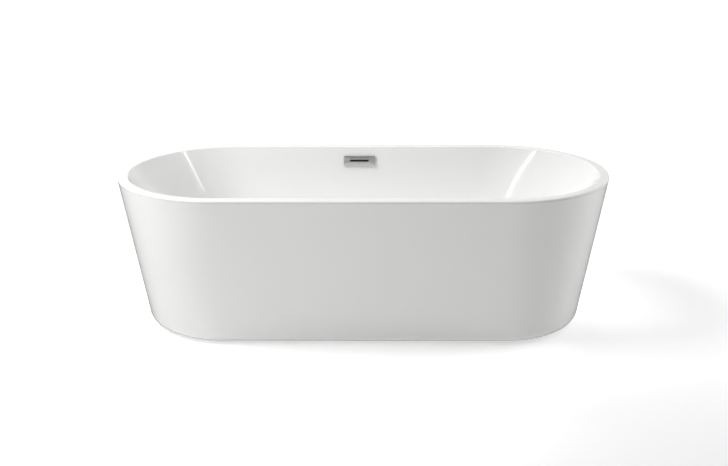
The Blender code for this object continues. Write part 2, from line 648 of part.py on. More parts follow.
def make_plug(put):
    """The pop-up plug: a domed cap with its seal on a stem that slides in a guide inside the sleeve."""
    seal_z = FLANGE_TOP_Z + GAP
    cap_z = seal_z + SEAL_HEIGHT + GAP
    seal_radius = PLUG_RADIUS - PLUG_OVERHANG
    put(washer("plug_seal", PLUG_STEM + GAP, seal_radius, seal_z, SEAL_HEIGHT), "black_rubber")
    put(turned("plug_cap", [
        (0, cap_z), (PLUG_RADIUS - EDGE, cap_z), (PLUG_RADIUS, cap_z + EDGE),
        *((PLUG_RADIUS * out, cap_z + PLUG_HEIGHT * up) for out, up in PLUG_DOME)], ends="points"),
        "chromed_brass")
    guide_top = FLANGE_TOP_Z - GUIDE_DROP
    guide_base = guide_top - GUIDE_HEIGHT
    collar_top = guide_base - PLUG_LIFT - GAP
    collar = PLUG_STEM + PLUG_COLLAR_LAND
    put(turned("plug_stem", [
        (0, collar_top - PLUG_COLLAR_HEIGHT), (collar, collar_top - PLUG_COLLAR_HEIGHT),
        (collar, collar_top), (PLUG_STEM, collar_top), (PLUG_STEM, cap_z - GAP),
        (0, cap_z - GAP)], PIPE_STEPS, "points"), "satin_steel")
    guide = put(washer("plug_guide", PLUG_STEM + GAP, SLEEVE_BORE - GAP, guide_base, GUIDE_HEIGHT),
                "white_plastic")
    hole_circle = (PLUG_STEM + SLEEVE_BORE) / 2
    hole_radius = (SLEEVE_BORE - PLUG_STEM) / 2 - GUIDE_WEB
    for number in range(4):
        angle = math.radians(45 + 90 * number)
        hole = rod_solid("guide_hole", hole_radius, guide_base - GAP, GUIDE_HEIGHT + 2 * GAP, SMALL_STEPS)
        offset = (hole_circle * math.cos(angle), hole_circle * math.sin(angle), 0)
        cut(guide, moved(hole, offset), guide.parent)


# ---------------------------------------------------------------- overflow


def shrunk(size, by):
    return tuple(side - by for side in size)


def overflow_axis():
    """An empty on the wet face of the long wall, with its Z out of the wall and its Y up the wall."""
    y = BASIN_HALF_WIDTH - SIDE_LEAN * OVERFLOW_DROP
    turn = math.atan2(1, SIDE_LEAN)
    return empty("overflow_axis", (WASTE_X, y, TUB_HEIGHT - OVERFLOW_DROP), (turn, 0, 0))


def make_overflow(basin):
    axis = overflow_axis()
    screw_sides = (-OVERFLOW_SCREW_REACH, OVERFLOW_SCREW_REACH)
    shank_hole = SCREW_SHANK + GAP

    def drill(target, base, height):
        for side in screw_sides:
            hole = rod_solid("overflow_screw_hole", shank_hole, base, height, SMALL_STEPS)
            cut(target, moved(hole, (side, 0, 0)), axis)

    reach = 2 * BASIN_WALL
    cut(basin, rounded_slot_solid("wall_window", WINDOW_SIZE, -reach, 2 * reach), axis)
    drill(basin, -reach, 2 * reach)

    gasket_size = shrunk(HOUSING_SIZE, FIT)
    gasket_window = shrunk(WINDOW_SIZE, -FIT)
    pocket_size = shrunk(COVER_SIZE, 2 * COVER_EDGE)
    for name, size, window, base, height, coat in (
            ("overflow_gasket", gasket_size, gasket_window, -BASIN_WALL - GAP - GASKET_HEIGHT,
             GASKET_HEIGHT, "black_rubber"),
            ("overflow_carrier", shrunk(pocket_size, FIT), WINDOW_SIZE, GAP, CARRIER_HEIGHT, "satin_steel")):
        plate = place(name, box_solid(name, size, base, height), coat, parent=axis)
        cut(plate, rounded_slot_solid(name + "_window", window, base - GAP, height + 2 * GAP), axis)
        drill(plate, base - GAP, height + 2 * GAP)

    cover = place("overflow_plate", box_solid("overflow_plate", COVER_SIZE, GAP, COVER_HEIGHT), "satin_steel",
                  parent=axis)
    cut(cover, box_solid("cover_pocket", pocket_size, -GAP, COVER_HEIGHT - COVER_FACE + GAP), axis)
    cut(cover, rounded_slot_solid("cover_slot", SLOT_SIZE, 0, 2 * COVER_HEIGHT), axis)

    head_z = GAP + CARRIER_HEIGHT + GAP
    screw = turned("overflow_screw", [
        (0, head_z - OVERFLOW_SCREW_LENGTH), (SCREW_SHANK, head_z - OVERFLOW_SCREW_LENGTH + SCREW_POINT),
        (SCREW_SHANK, head_z), (SCREW_HEAD - EDGE, head_z), (SCREW_HEAD - 2 * EDGE, head_z + 1.5 * EDGE),
        (0, head_z + 2 * EDGE)], SCREW_STEPS, "points")
    for side, word in zip(screw_sides, ("left", "right")):
        place(f"overflow_screw_{word}", screw, "zinc_steel", (side, 0, 0), axis)
    make_overflow_housing(axis, drill, head_z - OVERFLOW_SCREW_LENGTH)
    make_hose(axis)


def make_overflow_housing(axis, drill, screw_end):
    """The box behind the wall that gathers the overflow water and turns it down into the hose."""
    front = -BASIN_WALL - GASKET_HEIGHT - 2 * GAP
    back = front - HOUSING_DEPTH
    housing = place("overflow_housing", box_solid("overflow_housing", HOUSING_SIZE, back, HOUSING_DEPTH),
                    "grey_plastic", parent=axis)
    half_height = HOUSING_SIZE[1] / 2
    spigot = rod_solid("spigot", SPIGOT_RADIUS, half_height - HOUSING_BACK,
                       SPIGOT_LENGTH + HOUSING_BACK, PIPE_STEPS)
    join(housing, moved(spigot, (0, 0, -SPIGOT_SET_BACK), (90, 0, 0)), axis)
    pocket_size = (WINDOW_SIZE[0] + FIT, HOUSING_SIZE[1] - 2 * HOUSING_EDGE)
    pocket = box_solid("housing_pocket", pocket_size, back + HOUSING_BACK, HOUSING_DEPTH)
    cut(housing, pocket, axis)
    spigot_bore = rod_solid("spigot_bore", SPIGOT_BORE, 0, half_height + SPIGOT_LENGTH + HOUSING_BACK,
                            PIPE_STEPS)
    cut(housing, moved(spigot_bore, (0, 0, -SPIGOT_SET_BACK), (90, 0, 0)), axis)
    drill(housing, screw_end - EDGE, front - screw_end + 2 * EDGE)


def make_hose(axis):
    """The overflow hose, down between the basin and the skirt and under the frame to the waste body."""
    bpy.context.view_layer.update()
    down = HOUSING_SIZE[1] / 2 + SPIGOT_LENGTH + GAP
    start = axis.matrix_world @ Vector((0, -down, -SPIGOT_SET_BACK))
    fall = (axis.matrix_world.to_3x3() @ Vector((0, -1, 0))).normalized()
    end = Vector((WASTE_X, BRANCH_REACH + GAP, BRANCH_Z))
    drop = (start.z - BRANCH_Z - HOSE_BEND_FALL) / -fall.z
    bend_start = start + fall * drop
    bend_end = Vector((WASTE_X, bend_start.y - HOSE_BEND_REACH, BRANCH_Z))
    points = [start.lerp(bend_start, i / HOSE_FALL_STEPS) for i in range(HOSE_FALL_STEPS)]
    corners = (bend_start, bend_start + fall * HOSE_BEND_HANDLE,
               bend_end + Vector((0, HOSE_BEND_HANDLE, 0)), bend_end)
    points += [cubic(corners, i / HOSE_BEND_STEPS) for i in range(HOSE_BEND_STEPS + 1)]
    points += [bend_end.lerp(end, 0.5), end]
    curve = bpy.data.curves.new("overflow_hose", "CURVE")
    curve.dimensions = "3D"
    curve.bevel_depth = HOSE_RADIUS
    curve.bevel_resolution = 3
    curve.use_fill_caps = True
    spline = curve.splines.new("POLY")
    spline.points.add(len(points) - 1)
    for spot, point in zip(spline.points, points):
        spot.co = (*point, 1)
    place("overflow_hose", curve, "grey_plastic")

    inner = HOSE_RADIUS + GAP
    for word, centre, direction in (
            ("upper", start + fall * (CLAMP_INSET + CLAMP_WIDTH / 2), fall),
            ("lower", end + Vector((0, CLAMP_INSET + CLAMP_WIDTH / 2, 0)), Vector((0, 1, 0)))):
        ring = washer(f"hose_clamp_{word}", inner, inner + CLAMP_WALL, -CLAMP_WIDTH / 2, CLAMP_WIDTH,
                      PIPE_STEPS)
        clamp = place(ring.name, ring, "zinc_steel", centre)
        clamp.rotation_euler = direction.to_track_quat("Z", "Y").to_euler()


def cubic(corners, share):
    """A point along the cubic curve with these four corners."""
    a, b, c, d = corners
    rest = 1 - share
    return rest**3 * a + 3 * rest**2 * share * b + 3 * rest * share**2 * c + share**3 * d


def build():
    clear_scene()
    basin = make_basin()
    make_skirt()
    make_rim_bond()
    make_frame()
    make_board()
    make_board_screws()
    make_skirt_pads()
    make_feet()
    make_waste()
    make_overflow(basin)


build()
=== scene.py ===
"""A freestanding acrylic bathtub, built in the order that the maker puts it together."""

import math

import bmesh
import bpy
import numpy as np
from mathutils import Matrix, Vector


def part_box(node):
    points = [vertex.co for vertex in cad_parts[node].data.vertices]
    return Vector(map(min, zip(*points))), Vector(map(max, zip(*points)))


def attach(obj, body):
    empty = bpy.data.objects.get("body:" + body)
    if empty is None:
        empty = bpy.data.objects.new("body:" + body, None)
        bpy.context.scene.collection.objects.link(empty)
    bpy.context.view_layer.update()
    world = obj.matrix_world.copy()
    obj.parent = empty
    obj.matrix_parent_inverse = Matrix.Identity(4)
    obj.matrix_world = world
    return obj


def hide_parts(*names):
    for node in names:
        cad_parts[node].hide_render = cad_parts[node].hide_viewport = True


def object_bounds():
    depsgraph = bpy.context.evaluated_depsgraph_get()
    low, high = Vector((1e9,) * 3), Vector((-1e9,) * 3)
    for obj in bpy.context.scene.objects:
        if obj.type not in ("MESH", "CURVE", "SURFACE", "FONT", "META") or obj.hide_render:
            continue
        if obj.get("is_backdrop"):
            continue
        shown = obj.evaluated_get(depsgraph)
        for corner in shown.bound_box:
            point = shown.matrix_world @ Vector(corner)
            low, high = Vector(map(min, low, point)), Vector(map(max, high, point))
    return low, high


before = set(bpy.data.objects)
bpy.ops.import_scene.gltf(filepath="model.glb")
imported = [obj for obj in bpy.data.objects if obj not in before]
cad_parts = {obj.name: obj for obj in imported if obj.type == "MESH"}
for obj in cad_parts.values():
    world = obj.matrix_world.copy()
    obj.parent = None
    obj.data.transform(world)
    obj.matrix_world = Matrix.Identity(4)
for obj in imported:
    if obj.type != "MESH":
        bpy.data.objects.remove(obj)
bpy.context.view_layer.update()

# ---------------------------------------------------------------- camera
# A 51 mm lens stands three and a half metres in front of the long side, above the height of the rim,
# and looks a little down into the basin.

lens, sensor = 51.06, 36.0
camera_place = Vector((0.0523, -3.4845, 1.4848))
yaw, pitch, roll = (math.radians(angle) for angle in (-0.804, 18.741, -0.176))

forward = Vector((math.sin(yaw) * math.cos(pitch), math.cos(yaw) * math.cos(pitch), -math.sin(pitch)))
level = Vector((math.cos(yaw), -math.sin(yaw), 0))
upright = level.cross(forward)
right = math.cos(roll) * level + math.sin(roll) * upright
up = math.cos(roll) * upright - math.sin(roll) * level

camera = bpy.data.objects.new("camera", bpy.data.cameras.new("camera"))
camera.data.lens = lens
camera.data.sensor_width = sensor
camera.matrix_world = Matrix.Translation(camera_place) @ Matrix((right, up, -forward)).transposed().to_4x4()
bpy.context.scene.collection.objects.link(camera)
bpy.context.scene.camera = camera

# ---------------------------------------------------------------- inner basin
# One sheet of white cast acrylic, softened by heat and drawn down into a mould with its flat rim. Glass
# fibre in polyester resin, rolled on behind, stiffens it. The shine outside is the sheet's own gloss.

half_length, half_width, rim_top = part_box("inner_basin")[1]
sheet = 0.005
gap = 0.0003
rim_width, rim_round, rim_lip = 0.0365, 0.006, 0.007
outer_lean, side_lean, end_lean = 0.160, 0.25, 0.55
floor_back, drain_floor, floor_edge, floor_round = 0.1326, 0.1406, 0.1446, 0.070
waste_x, waste_hole, recess, recess_depth = -0.018, 0.0265, 0.038, 0.004
cut_inset, cut_rise = 0.0006, 0.0005
laminate_lumps = 0.0004
widest, lip_z = rim_top - rim_round, rim_top - rim_lip
straight = half_length - half_width


def colour(code):
    """An sRGB hex colour in linear light."""
    shares = [int(code[start:start + 2], 16) / 255 for start in (1, 3, 5)]
    return [s / 12.92 if s <= 0.04045 else ((s + 0.055) / 1.055) ** 2.4 for s in shares] + [1.0]


def add(tree, kind, sockets=None, **settings):
    """A new node, with its settings, and each named socket linked or given its value."""
    made = tree.nodes.new(kind)
    for key, value in settings.items():
        setattr(made, key, value)
    for key, value in (sockets or {}).items():
        if isinstance(value, bpy.types.NodeSocket):
            tree.links.new(value, made.inputs[key])
        else:
            made.inputs[key].default_value = value
    return made


def material(name, **sockets):
    """A new material with its shader's sockets set, its node tree and the object's own coordinates."""
    made = bpy.data.materials.new(name)
    made.use_nodes = True
    tree = made.node_tree
    shader = tree.nodes["Principled BSDF"]
    for key, value in sockets.items():
        shader.inputs[key.replace("_", " ")].default_value = value
    return made, tree, shader, tree.nodes.new("ShaderNodeTexCoord").outputs["Object"]


def cast_acrylic():
    """Glossy and pure white. Reflections bend a little over waves 55 mm long, with a faint ripple of 6 mm on
    them from the mould, and the gloss varies where it was wiped."""
    made, tree, shader, place = material("cast_acrylic", Base_Color=colour("#ececeb"), Roughness=0.10, IOR=1.49,
                                         Coat_Weight=0.25, Coat_Roughness=0.03)
    ripple = add(tree, "ShaderNodeTexNoise", {"Vector": place, "Scale": 1 / 0.006, "Detail": 2.0})
    wave = add(tree, "ShaderNodeTexNoise", {"Vector": place, "Scale": 1 / 0.055, "Detail": 1.0})
    height = add(tree, "ShaderNodeMath", {0: ripple.outputs[0], 1: 0.06, 2: wave.outputs[0]},
                 operation="MULTIPLY_ADD")
    bump = add(tree, "ShaderNodeBump", {"Height": height.outputs[0], "Strength": 1.0, "Distance": 0.00012})
    wipe = add(tree, "ShaderNodeTexNoise", {"Vector": place, "Scale": 1 / 0.12, "Detail": 3.0})
    gloss = add(tree, "ShaderNodeMapRange", {0: wipe.outputs[0], 3: 0.08, 4: 0.13})
    tree.links.new(bump.outputs["Normal"], shader.inputs["Normal"])
    tree.links.new(gloss.outputs[0], shader.inputs["Roughness"])
    return made


def glass_laminate():
    """Chopped strands, 30 mm long and a millimetre wide, lie every way under a coat of yellowish resin."""
    made, tree, shader, place = material("glass_laminate", Roughness=0.42, IOR=1.55)
    strands = None
    for turn in (0.3, 1.35, 2.4):
        laid = add(tree, "ShaderNodeMapping", {"Vector": place, "Rotation": (turn, turn / 2, turn),
                                               "Scale": (1 / 0.030, 1 / 0.0012, 1 / 0.004)})
        tangle = add(tree, "ShaderNodeTexNoise", {"Vector": laid.outputs[0], "Scale": 1.0, "Detail": 2.0})
        if strands is None:
            strands = tangle.outputs[0]
        else:
            upper = add(tree, "ShaderNodeMath", {0: strands, 1: tangle.outputs[0]}, operation="MAXIMUM")
            strands = upper.outputs[0]
    shade = add(tree, "ShaderNodeValToRGB", {"Fac": strands})
    shade.color_ramp.elements[0].position, shade.color_ramp.elements[0].color = 0.45, colour("#b9b08f")
    shade.color_ramp.elements[1].position, shade.color_ramp.elements[1].color = 0.75, colour("#e4dfcb")
    bump = add(tree, "ShaderNodeBump", {"Height": strands, "Strength": 0.8, "Distance": 0.0008})
    tree.links.new(shade.outputs["Color"], shader.inputs["Base Color"])
    tree.links.new(bump.outputs["Normal"], shader.inputs["Normal"])
    return made


def tub_line(reach_x, reach_y, z, arc=65, run=36):
    """Points around two half circles and the straight sides between them, (steps, 3)."""
    turn = np.linspace(-math.pi / 2, math.pi / 2, arc)
    side = reach_x - reach_y
    bend = np.column_stack([side + reach_y * np.cos(turn), reach_y * np.sin(turn), np.full(arc, z)])
    along = np.linspace(side, -side, run + 2)[1:-1]
    flat = np.column_stack([along, np.full(run, reach_y), np.full(run, z)])
    half = np.vstack([bend, flat])
    return np.vstack([half, half * (-1, -1, 1)])


def arc_line(start, end, count):
    """Angles in radians between two in degrees."""
    return [math.radians(start + (end - start) * step / (count - 1)) for step in range(count)]


def lofted(name, rings, coats, ends="joined", strips=None, sharp=35):
    """An object skinned over the rings. Its ends are joined to each other, capped or drawn to points.
    For joined rings, strips may say which coat the faces after each ring have."""
    rings = [np.asarray(ring, float) for ring in rings]
    count = len(rings[0])
    step = np.arange(count)
    after = (step + 1) % count
    faces = []
    pairs = len(rings) if ends == "joined" else len(rings) - 1
    for lower in range(pairs):
        a, b = lower * count, (lower + 1) % len(rings) * count
        faces += np.column_stack([a + step, a + after, b + after, b + step]).tolist()
    if ends == "capped":
        faces += [list(range(count)), list(range((len(rings) - 1) * count, len(rings) * count))]
    mesh = bpy.data.meshes.new(name)
    mesh.from_pydata(np.vstack(rings).tolist(), [], faces)
    for coat in coats:
        mesh.materials.append(coat)
    if strips:
        mesh.polygons.foreach_set("material_index", np.repeat(strips, count).astype(np.int32))
    work = bmesh.new()
    work.from_mesh(mesh)
    bmesh.ops.remove_doubles(work, verts=work.verts, dist=1e-6)
    bmesh.ops.recalc_face_normals(work, faces=work.faces)
    work.to_mesh(mesh)
    work.free()
    mesh.shade_smooth()
    mesh.set_sharp_from_angle(angle=math.radians(sharp))
    made = bpy.data.objects.new(name, mesh)
    bpy.context.scene.collection.objects.link(made)
    return made


def wall_reach(z, top_reach, lean, foot_z, radius, top_z):
    """How far out a wall stands at z: straight and leaning, then round into the floor."""
    slant = math.hypot(1, lean)
    arc_z = foot_z + radius
    if z >= arc_z - radius * lean / slant:
        return top_reach - lean * (top_z - z)
    arc_reach = top_reach - lean * (top_z - arc_z) - radius * slant
    return arc_reach + math.sqrt(max(0.0, radius**2 - (arc_z - z) ** 2))


def wall_levels(foot_z, radius, lean, arcs=14):
    """Heights through the round at the foot of a wall."""
    last = math.pi / 2 - math.atan(lean)
    return [foot_z + radius * (1 - math.cos(last * step / arcs)) for step in range(arcs + 1)]


def basin_line(z, offset, foot_z, radius):
    """The basin's wet face at z, or its back with the wall as offset."""
    reach_x = half_length - rim_width + offset * math.hypot(1, end_lean)
    reach_y = half_width - rim_width + offset * math.hypot(1, side_lean)
    return tub_line(wall_reach(z, reach_x, end_lean, foot_z, radius, rim_top),
                    wall_reach(z, reach_y, side_lean, foot_z, radius, rim_top), z)


def outer_line(z, inset=0.0):
    """The tub's outer face at z, or a line inside it by inset."""
    reach = half_width - inset * math.hypot(1, outer_lean) - outer_lean * (widest - z)
    return tub_line(straight + reach, reach, z)


def rim_edge(centre_inset, turns, side):
    """Rings over a rounded edge of the rim, outside with side 1 and inside with side -1."""
    rings = []
    for turn in turns:
        inset = centre_inset - side * rim_round * math.sin(turn)
        z = rim_top - rim_round * (1 - math.cos(turn))
        rings.append(tub_line(half_length - inset, half_width - inset, z))
    return rings


acrylic, laminate = cast_acrylic(), glass_laminate()

foot_ring = basin_line(floor_edge, 0.0, floor_edge, floor_round)
from_waste = foot_ring - (waste_x, 0, floor_edge)
around_waste = from_waste / np.linalg.norm(from_waste, axis=1)[:, None]


def waste_line(radius, z):
    """A circle round the waste at z, with each point towards a point at the foot of the wall."""
    return around_waste * radius + (waste_x, 0, z)


def wet_face():
    """Rings of the side that is seen: the sump round the waste, the floor, the walls and the rim."""
    sump_z = drain_floor - recess_depth
    rounding, first_turn = 0.3, 20
    rings = [waste_line(waste_hole, sump_z), waste_line(recess, sump_z)]
    for turn in arc_line(first_turn, 90, 5):
        spread = rounding * (1 - math.cos(turn)) + (1 - rounding) * turn / (math.pi / 2)
        rings.append(waste_line(recess + recess_depth * spread, drain_floor - recess_depth * math.cos(turn)))
    sump = rings[-1]
    rings += [sump * (1 - share) + foot_ring * share for share in (0.1, 0.25, 0.45, 0.65, 0.85)]
    levels = wall_levels(floor_edge, floor_round, side_lean)
    rings += [basin_line(z, 0.0, floor_edge, floor_round) for z in levels]
    wall_top = rim_top - rim_round * (1 - math.cos(math.radians(76)))
    rings += [basin_line(levels[-1] + (wall_top - levels[-1]) * share, 0.0, floor_edge, floor_round)
              for share in (0.12, 0.3, 0.5, 0.7, 0.88)]
    rings += rim_edge(rim_width - rim_round, arc_line(72, 0, 7), -1)
    rings += rim_edge(rim_round, arc_line(0, 80, 7), 1)
    rings += [outer_line(widest), outer_line(lip_z + cut_rise)]
    return rings


def rolled_back():
    """Rings of the lip's cut edge, and of the back, uneven where the laminate was rolled on by hand."""
    under = rim_top - sheet
    back_round = floor_round + sheet
    rings = [outer_line(lip_z, cut_inset), outer_line(lip_z, sheet), outer_line(under, sheet)]
    lumpy = [basin_line(under, sheet, floor_back, back_round)]
    levels = wall_levels(floor_back, back_round, side_lean)
    lumpy += [basin_line(levels[-1] + (under - levels[-1]) * tenths / 10, sheet, floor_back, back_round)
              for tenths in range(9, 0, -1)]
    lumpy += [basin_line(z, sheet, floor_back, back_round) for z in reversed(levels)]
    dice = np.random.default_rng(7)
    for ring in lumpy[1:-1]:
        count = len(ring)
        outward = ring[:, :2] / np.linalg.norm(ring[:, :2], axis=1)[:, None]
        bumps = np.convolve(np.tile(dice.normal(size=count), 3), np.ones(3) / 3, "same")[count:2 * count]
        push = np.clip(bumps * laminate_lumps, -laminate_lumps, laminate_lumps)
        ring[:, :2] += outward * push[:, None]
    step_out = recess + recess_depth + sheet
    lumpy += [waste_line(step_out, floor_back), waste_line(step_out - recess_depth, floor_back - recess_depth),
              waste_line(waste_hole, floor_back - recess_depth)]
    return rings, lumpy


wet = wet_face()
lip, back = rolled_back()
strips = [0] * (len(wet) + len(lip) - 1) + [1] * len(back) + [0]
basin = lofted("basin_shell", wet + lip + back, [acrylic, laminate], strips=strips, sharp=40)
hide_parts("inner_basin")
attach(basin, "tub")

# ---------------------------------------------------------------- frame
# Square steel tube, 25 mm on a side, cut to length and MIG-welded into a ladder that carries the board and
# the feet. It is powder-coated after welding, so the beads show as small ripples under the paint.

rail_low, rail_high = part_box("end_rail_left")
rail_mid_z = (rail_low.z + rail_high.z) / 2
rail_half = (rail_high.z - rail_low.z) / 2
bead, bead_spacing = 0.0022, 0.0021


def powder_coat():
    """Baked polyester powder: a satin light grey with orange peel about 3 mm across."""
    made, tree, shader, place = material("powder_coated_steel", Base_Color=colour("#8f9394"), Roughness=0.42)
    peel = add(tree, "ShaderNodeTexNoise", {"Vector": place, "Scale": 1 / 0.003, "Detail": 2.0})
    bump = add(tree, "ShaderNodeBump", {"Height": peel.outputs[0], "Strength": 0.6, "Distance": 0.0002})
    dust = add(tree, "ShaderNodeTexNoise", {"Vector": place, "Scale": 1 / 0.08, "Detail": 4.0})
    gloss = add(tree, "ShaderNodeMapRange", {0: dust.outputs[0], 3: 0.34, 4: 0.50})
    tree.links.new(bump.outputs["Normal"], shader.inputs["Normal"])
    tree.links.new(gloss.outputs[0], shader.inputs["Roughness"])
    return made


def new_tree(name, *sizes):
    """An empty geometry tree with these named inputs: (name, socket kind) pairs."""
    tree = bpy.data.node_groups.new(name, "GeometryNodeTree")
    tree.interface.new_socket("Geometry", in_out="OUTPUT", socket_type="NodeSocketGeometry")
    for label, kind in sizes:
        tree.interface.new_socket(label, in_out="INPUT", socket_type="NodeSocket" + kind)
    return tree, tree.nodes.new("NodeGroupInput").outputs, tree.nodes.new("NodeGroupOutput").inputs[0]


def end_with(tree, geometry, finish, output):
    """Makes every copy real and gives it its finish."""
    real = add(tree, "GeometryNodeRealizeInstances", {"Geometry": geometry})
    coated = add(tree, "GeometryNodeSetMaterial", {"Geometry": real.outputs[0], "Material": finish})
    tree.links.new(coated.outputs[0], output)


def grown(name, tree, sizes):
    """A plain mesh object from a geometry tree and its named sizes."""
    made = bpy.data.objects.new(name, bpy.data.meshes.new(name))
    bpy.context.scene.collection.objects.link(made)
    step = made.modifiers.new(name, "NODES")
    step.node_group = tree
    for socket in tree.interface.items_tree:
        if socket.item_type == "SOCKET" and socket.in_out == "INPUT":
            step[socket.identifier] = sizes[socket.name]
    bpy.context.view_layer.update()
    shape = bpy.data.meshes.new_from_object(made.evaluated_get(bpy.context.evaluated_depsgraph_get()))
    made.modifiers.clear()
    made.data = shape
    shape.name = name
    return made


def pattern(name, mesh):
    """An object that a tree copies or follows. It is removed when the copies are made."""
    made = bpy.data.objects.new(name, mesh)
    bpy.context.scene.collection.objects.link(made)
    return made


def line_of(name, runs, closed=False):
    """A path through each run of points."""
    curve = bpy.data.curves.new(name, "CURVE")
    curve.dimensions = "3D"
    for points in runs:
        spline = curve.splines.new("POLY")
        spline.points.add(len(points) - 1)
        spline.use_cyclic_u = closed
        for spot, point in zip(spline.points, points):
            spot.co = (*point, 1)
    return pattern(name, curve)


def copies_along_path():
    """Copies of one part at an even spacing along a path, each turned to face along it."""
    tree, given, output = new_tree("copies_along_path", ("Path", "Object"), ("Copy", "Object"),
                                   ("Spacing", "Float"), ("Finish", "Material"))
    path = add(tree, "GeometryNodeObjectInfo", {"Object": given["Path"]}, transform_space="RELATIVE")
    copy = add(tree, "GeometryNodeObjectInfo", {"Object": given["Copy"]})
    spots = add(tree, "GeometryNodeCurveToPoints",
                {"Curve": path.outputs["Geometry"], "Length": given["Spacing"]}, mode="LENGTH")
    laid = add(tree, "GeometryNodeInstanceOnPoints", {
        "Points": spots.outputs["Points"], "Instance": copy.outputs["Geometry"],
        "Rotation": spots.outputs["Rotation"]})
    end_with(tree, laid.outputs[0], given["Finish"], output)
    return tree


def ball(name, radius, squeeze=(1, 1, 1), turns=8, rings=6):
    """A small blob, as smooth as a repeated shape needs."""
    work = bmesh.new()
    bmesh.ops.create_uvsphere(work, u_segments=turns, v_segments=rings, radius=radius)
    bmesh.ops.scale(work, vec=squeeze, verts=work.verts)
    mesh = bpy.data.meshes.new(name)
    work.to_mesh(mesh)
    work.free()
    mesh.shade_smooth()
    return mesh


def discard(*helpers):
    """Removes helpers once their shape is in a piece."""
    for helper in helpers:
        bpy.data.objects.remove(helper)


def recoat(finish, *names):
    """Gives CAD pieces that keep their own shape a real finish."""
    for name in names:
        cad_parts[name].data.materials.clear()
        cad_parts[name].data.materials.append(finish)


paint = powder_coat()
long_rails, end_rails, mid_rails = ([f"{kind}_rail_{word}" for word in words] for kind, words in (
    ("frame", ("front", "back")), ("end", ("left", "right")), ("mid", ("left", "right"))))
recoat(paint, *long_rails, *end_rails, *mid_rails)

# A seam runs all round each end of a long rail and of a mid rail, where it butts against its neighbour.
loops = []
for name in long_rails + mid_rails:
    low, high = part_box(name)
    middle = (low + high) / 2
    runs_along_x = high.x - low.x > high.y - low.y
    for end in (low, high):
        square = [(a * rail_half, b * rail_half) for a, b in ((-1, -1), (1, -1), (1, 1), (-1, 1))]
        loops.append([(end.x, middle.y + a, rail_mid_z + b) if runs_along_x else
                      (middle.x + a, end.y, rail_mid_z + b) for a, b in square])
seams = line_of("weld_seams", loops, closed=True)
ripple = pattern("weld_ripple", ball("weld_ripple", bead, (1, 1, 0.7)))
welds = grown("weld_beads", copies_along_path(), {"Path": seams, "Copy": ripple, "Spacing": bead_spacing,
                                                  "Finish": paint})
discard(seams, ripple)
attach(welds, "tub")

# ---------------------------------------------------------------- base board
# Twelve millimetres of birch plywood, cut to the shape of the floor, glued under the basin and screwed
# down to the frame. The sawn edge shows its nine plies; the faces show rotary-cut grain.

ply = 0.00133


def birch_plywood():
    """Pale birch: figure 24 mm wide and pores 1 mm wide run along the board, and its edge shows the plies."""
    made, tree, shader, place = material("birch_plywood", Roughness=0.62)
    along = add(tree, "ShaderNodeMapping", {"Vector": place, "Scale": (2.2, 1 / 0.024, 1.0)})
    swirl = add(tree, "ShaderNodeTexNoise",
                {"Vector": along.outputs[0], "Scale": 1.0, "Detail": 6.0, "Distortion": 0.8})
    fine = add(tree, "ShaderNodeMapping", {"Vector": place, "Scale": (25.0, 1 / 0.0011, 1.0)})
    pores = add(tree, "ShaderNodeTexNoise", {"Vector": fine.outputs[0], "Scale": 1.0, "Detail": 3.0})
    grain = add(tree, "ShaderNodeValToRGB", {"Fac": swirl.outputs[0]})
    grain.color_ramp.elements[0].position, grain.color_ramp.elements[0].color = 0.35, colour("#c39a66")
    grain.color_ramp.elements[1].position, grain.color_ramp.elements[1].color = 0.62, colour("#e2c596")
    height = add(tree, "ShaderNodeSeparateXYZ", {"Vector": place})
    layer = add(tree, "ShaderNodeMath", {0: height.outputs["Z"], 1: math.pi / ply}, operation="MULTIPLY")
    band = add(tree, "ShaderNodeMath", {0: layer.outputs[0]}, operation="SINE")
    dark_ply = add(tree, "ShaderNodeMath", {0: band.outputs[0], 1: 0.0}, operation="GREATER_THAN")
    surface = add(tree, "ShaderNodeNewGeometry")
    facing = add(tree, "ShaderNodeSeparateXYZ", {"Vector": surface.outputs["True Normal"]})
    flat = add(tree, "ShaderNodeMath", {0: facing.outputs["Z"]}, operation="ABSOLUTE")
    edge = add(tree, "ShaderNodeMath", {0: flat.outputs[0], 1: 0.5}, operation="LESS_THAN")
    in_edge = add(tree, "ShaderNodeMath", {0: edge.outputs[0], 1: dark_ply.outputs[0]}, operation="MULTIPLY")
    wood = add(tree, "ShaderNodeMix", {"Factor": in_edge.outputs[0], "A": grain.outputs["Color"],
                                       "B": colour("#8a6238")}, data_type="RGBA")
    bump = add(tree, "ShaderNodeBump", {"Height": pores.outputs[0], "Strength": 0.5, "Distance": 0.0003})
    tree.links.new(wood.outputs["Result"], shader.inputs["Base Color"])
    tree.links.new(bump.outputs["Normal"], shader.inputs["Normal"])
    return made


recoat(birch_plywood(), "base_board")

# ---------------------------------------------------------------- board screws
# Four wood screws, 4 mm thick, driven up through the rails into the board. They are steel, zinc-plated and
# blue passivated, with pan heads and a cross recess.


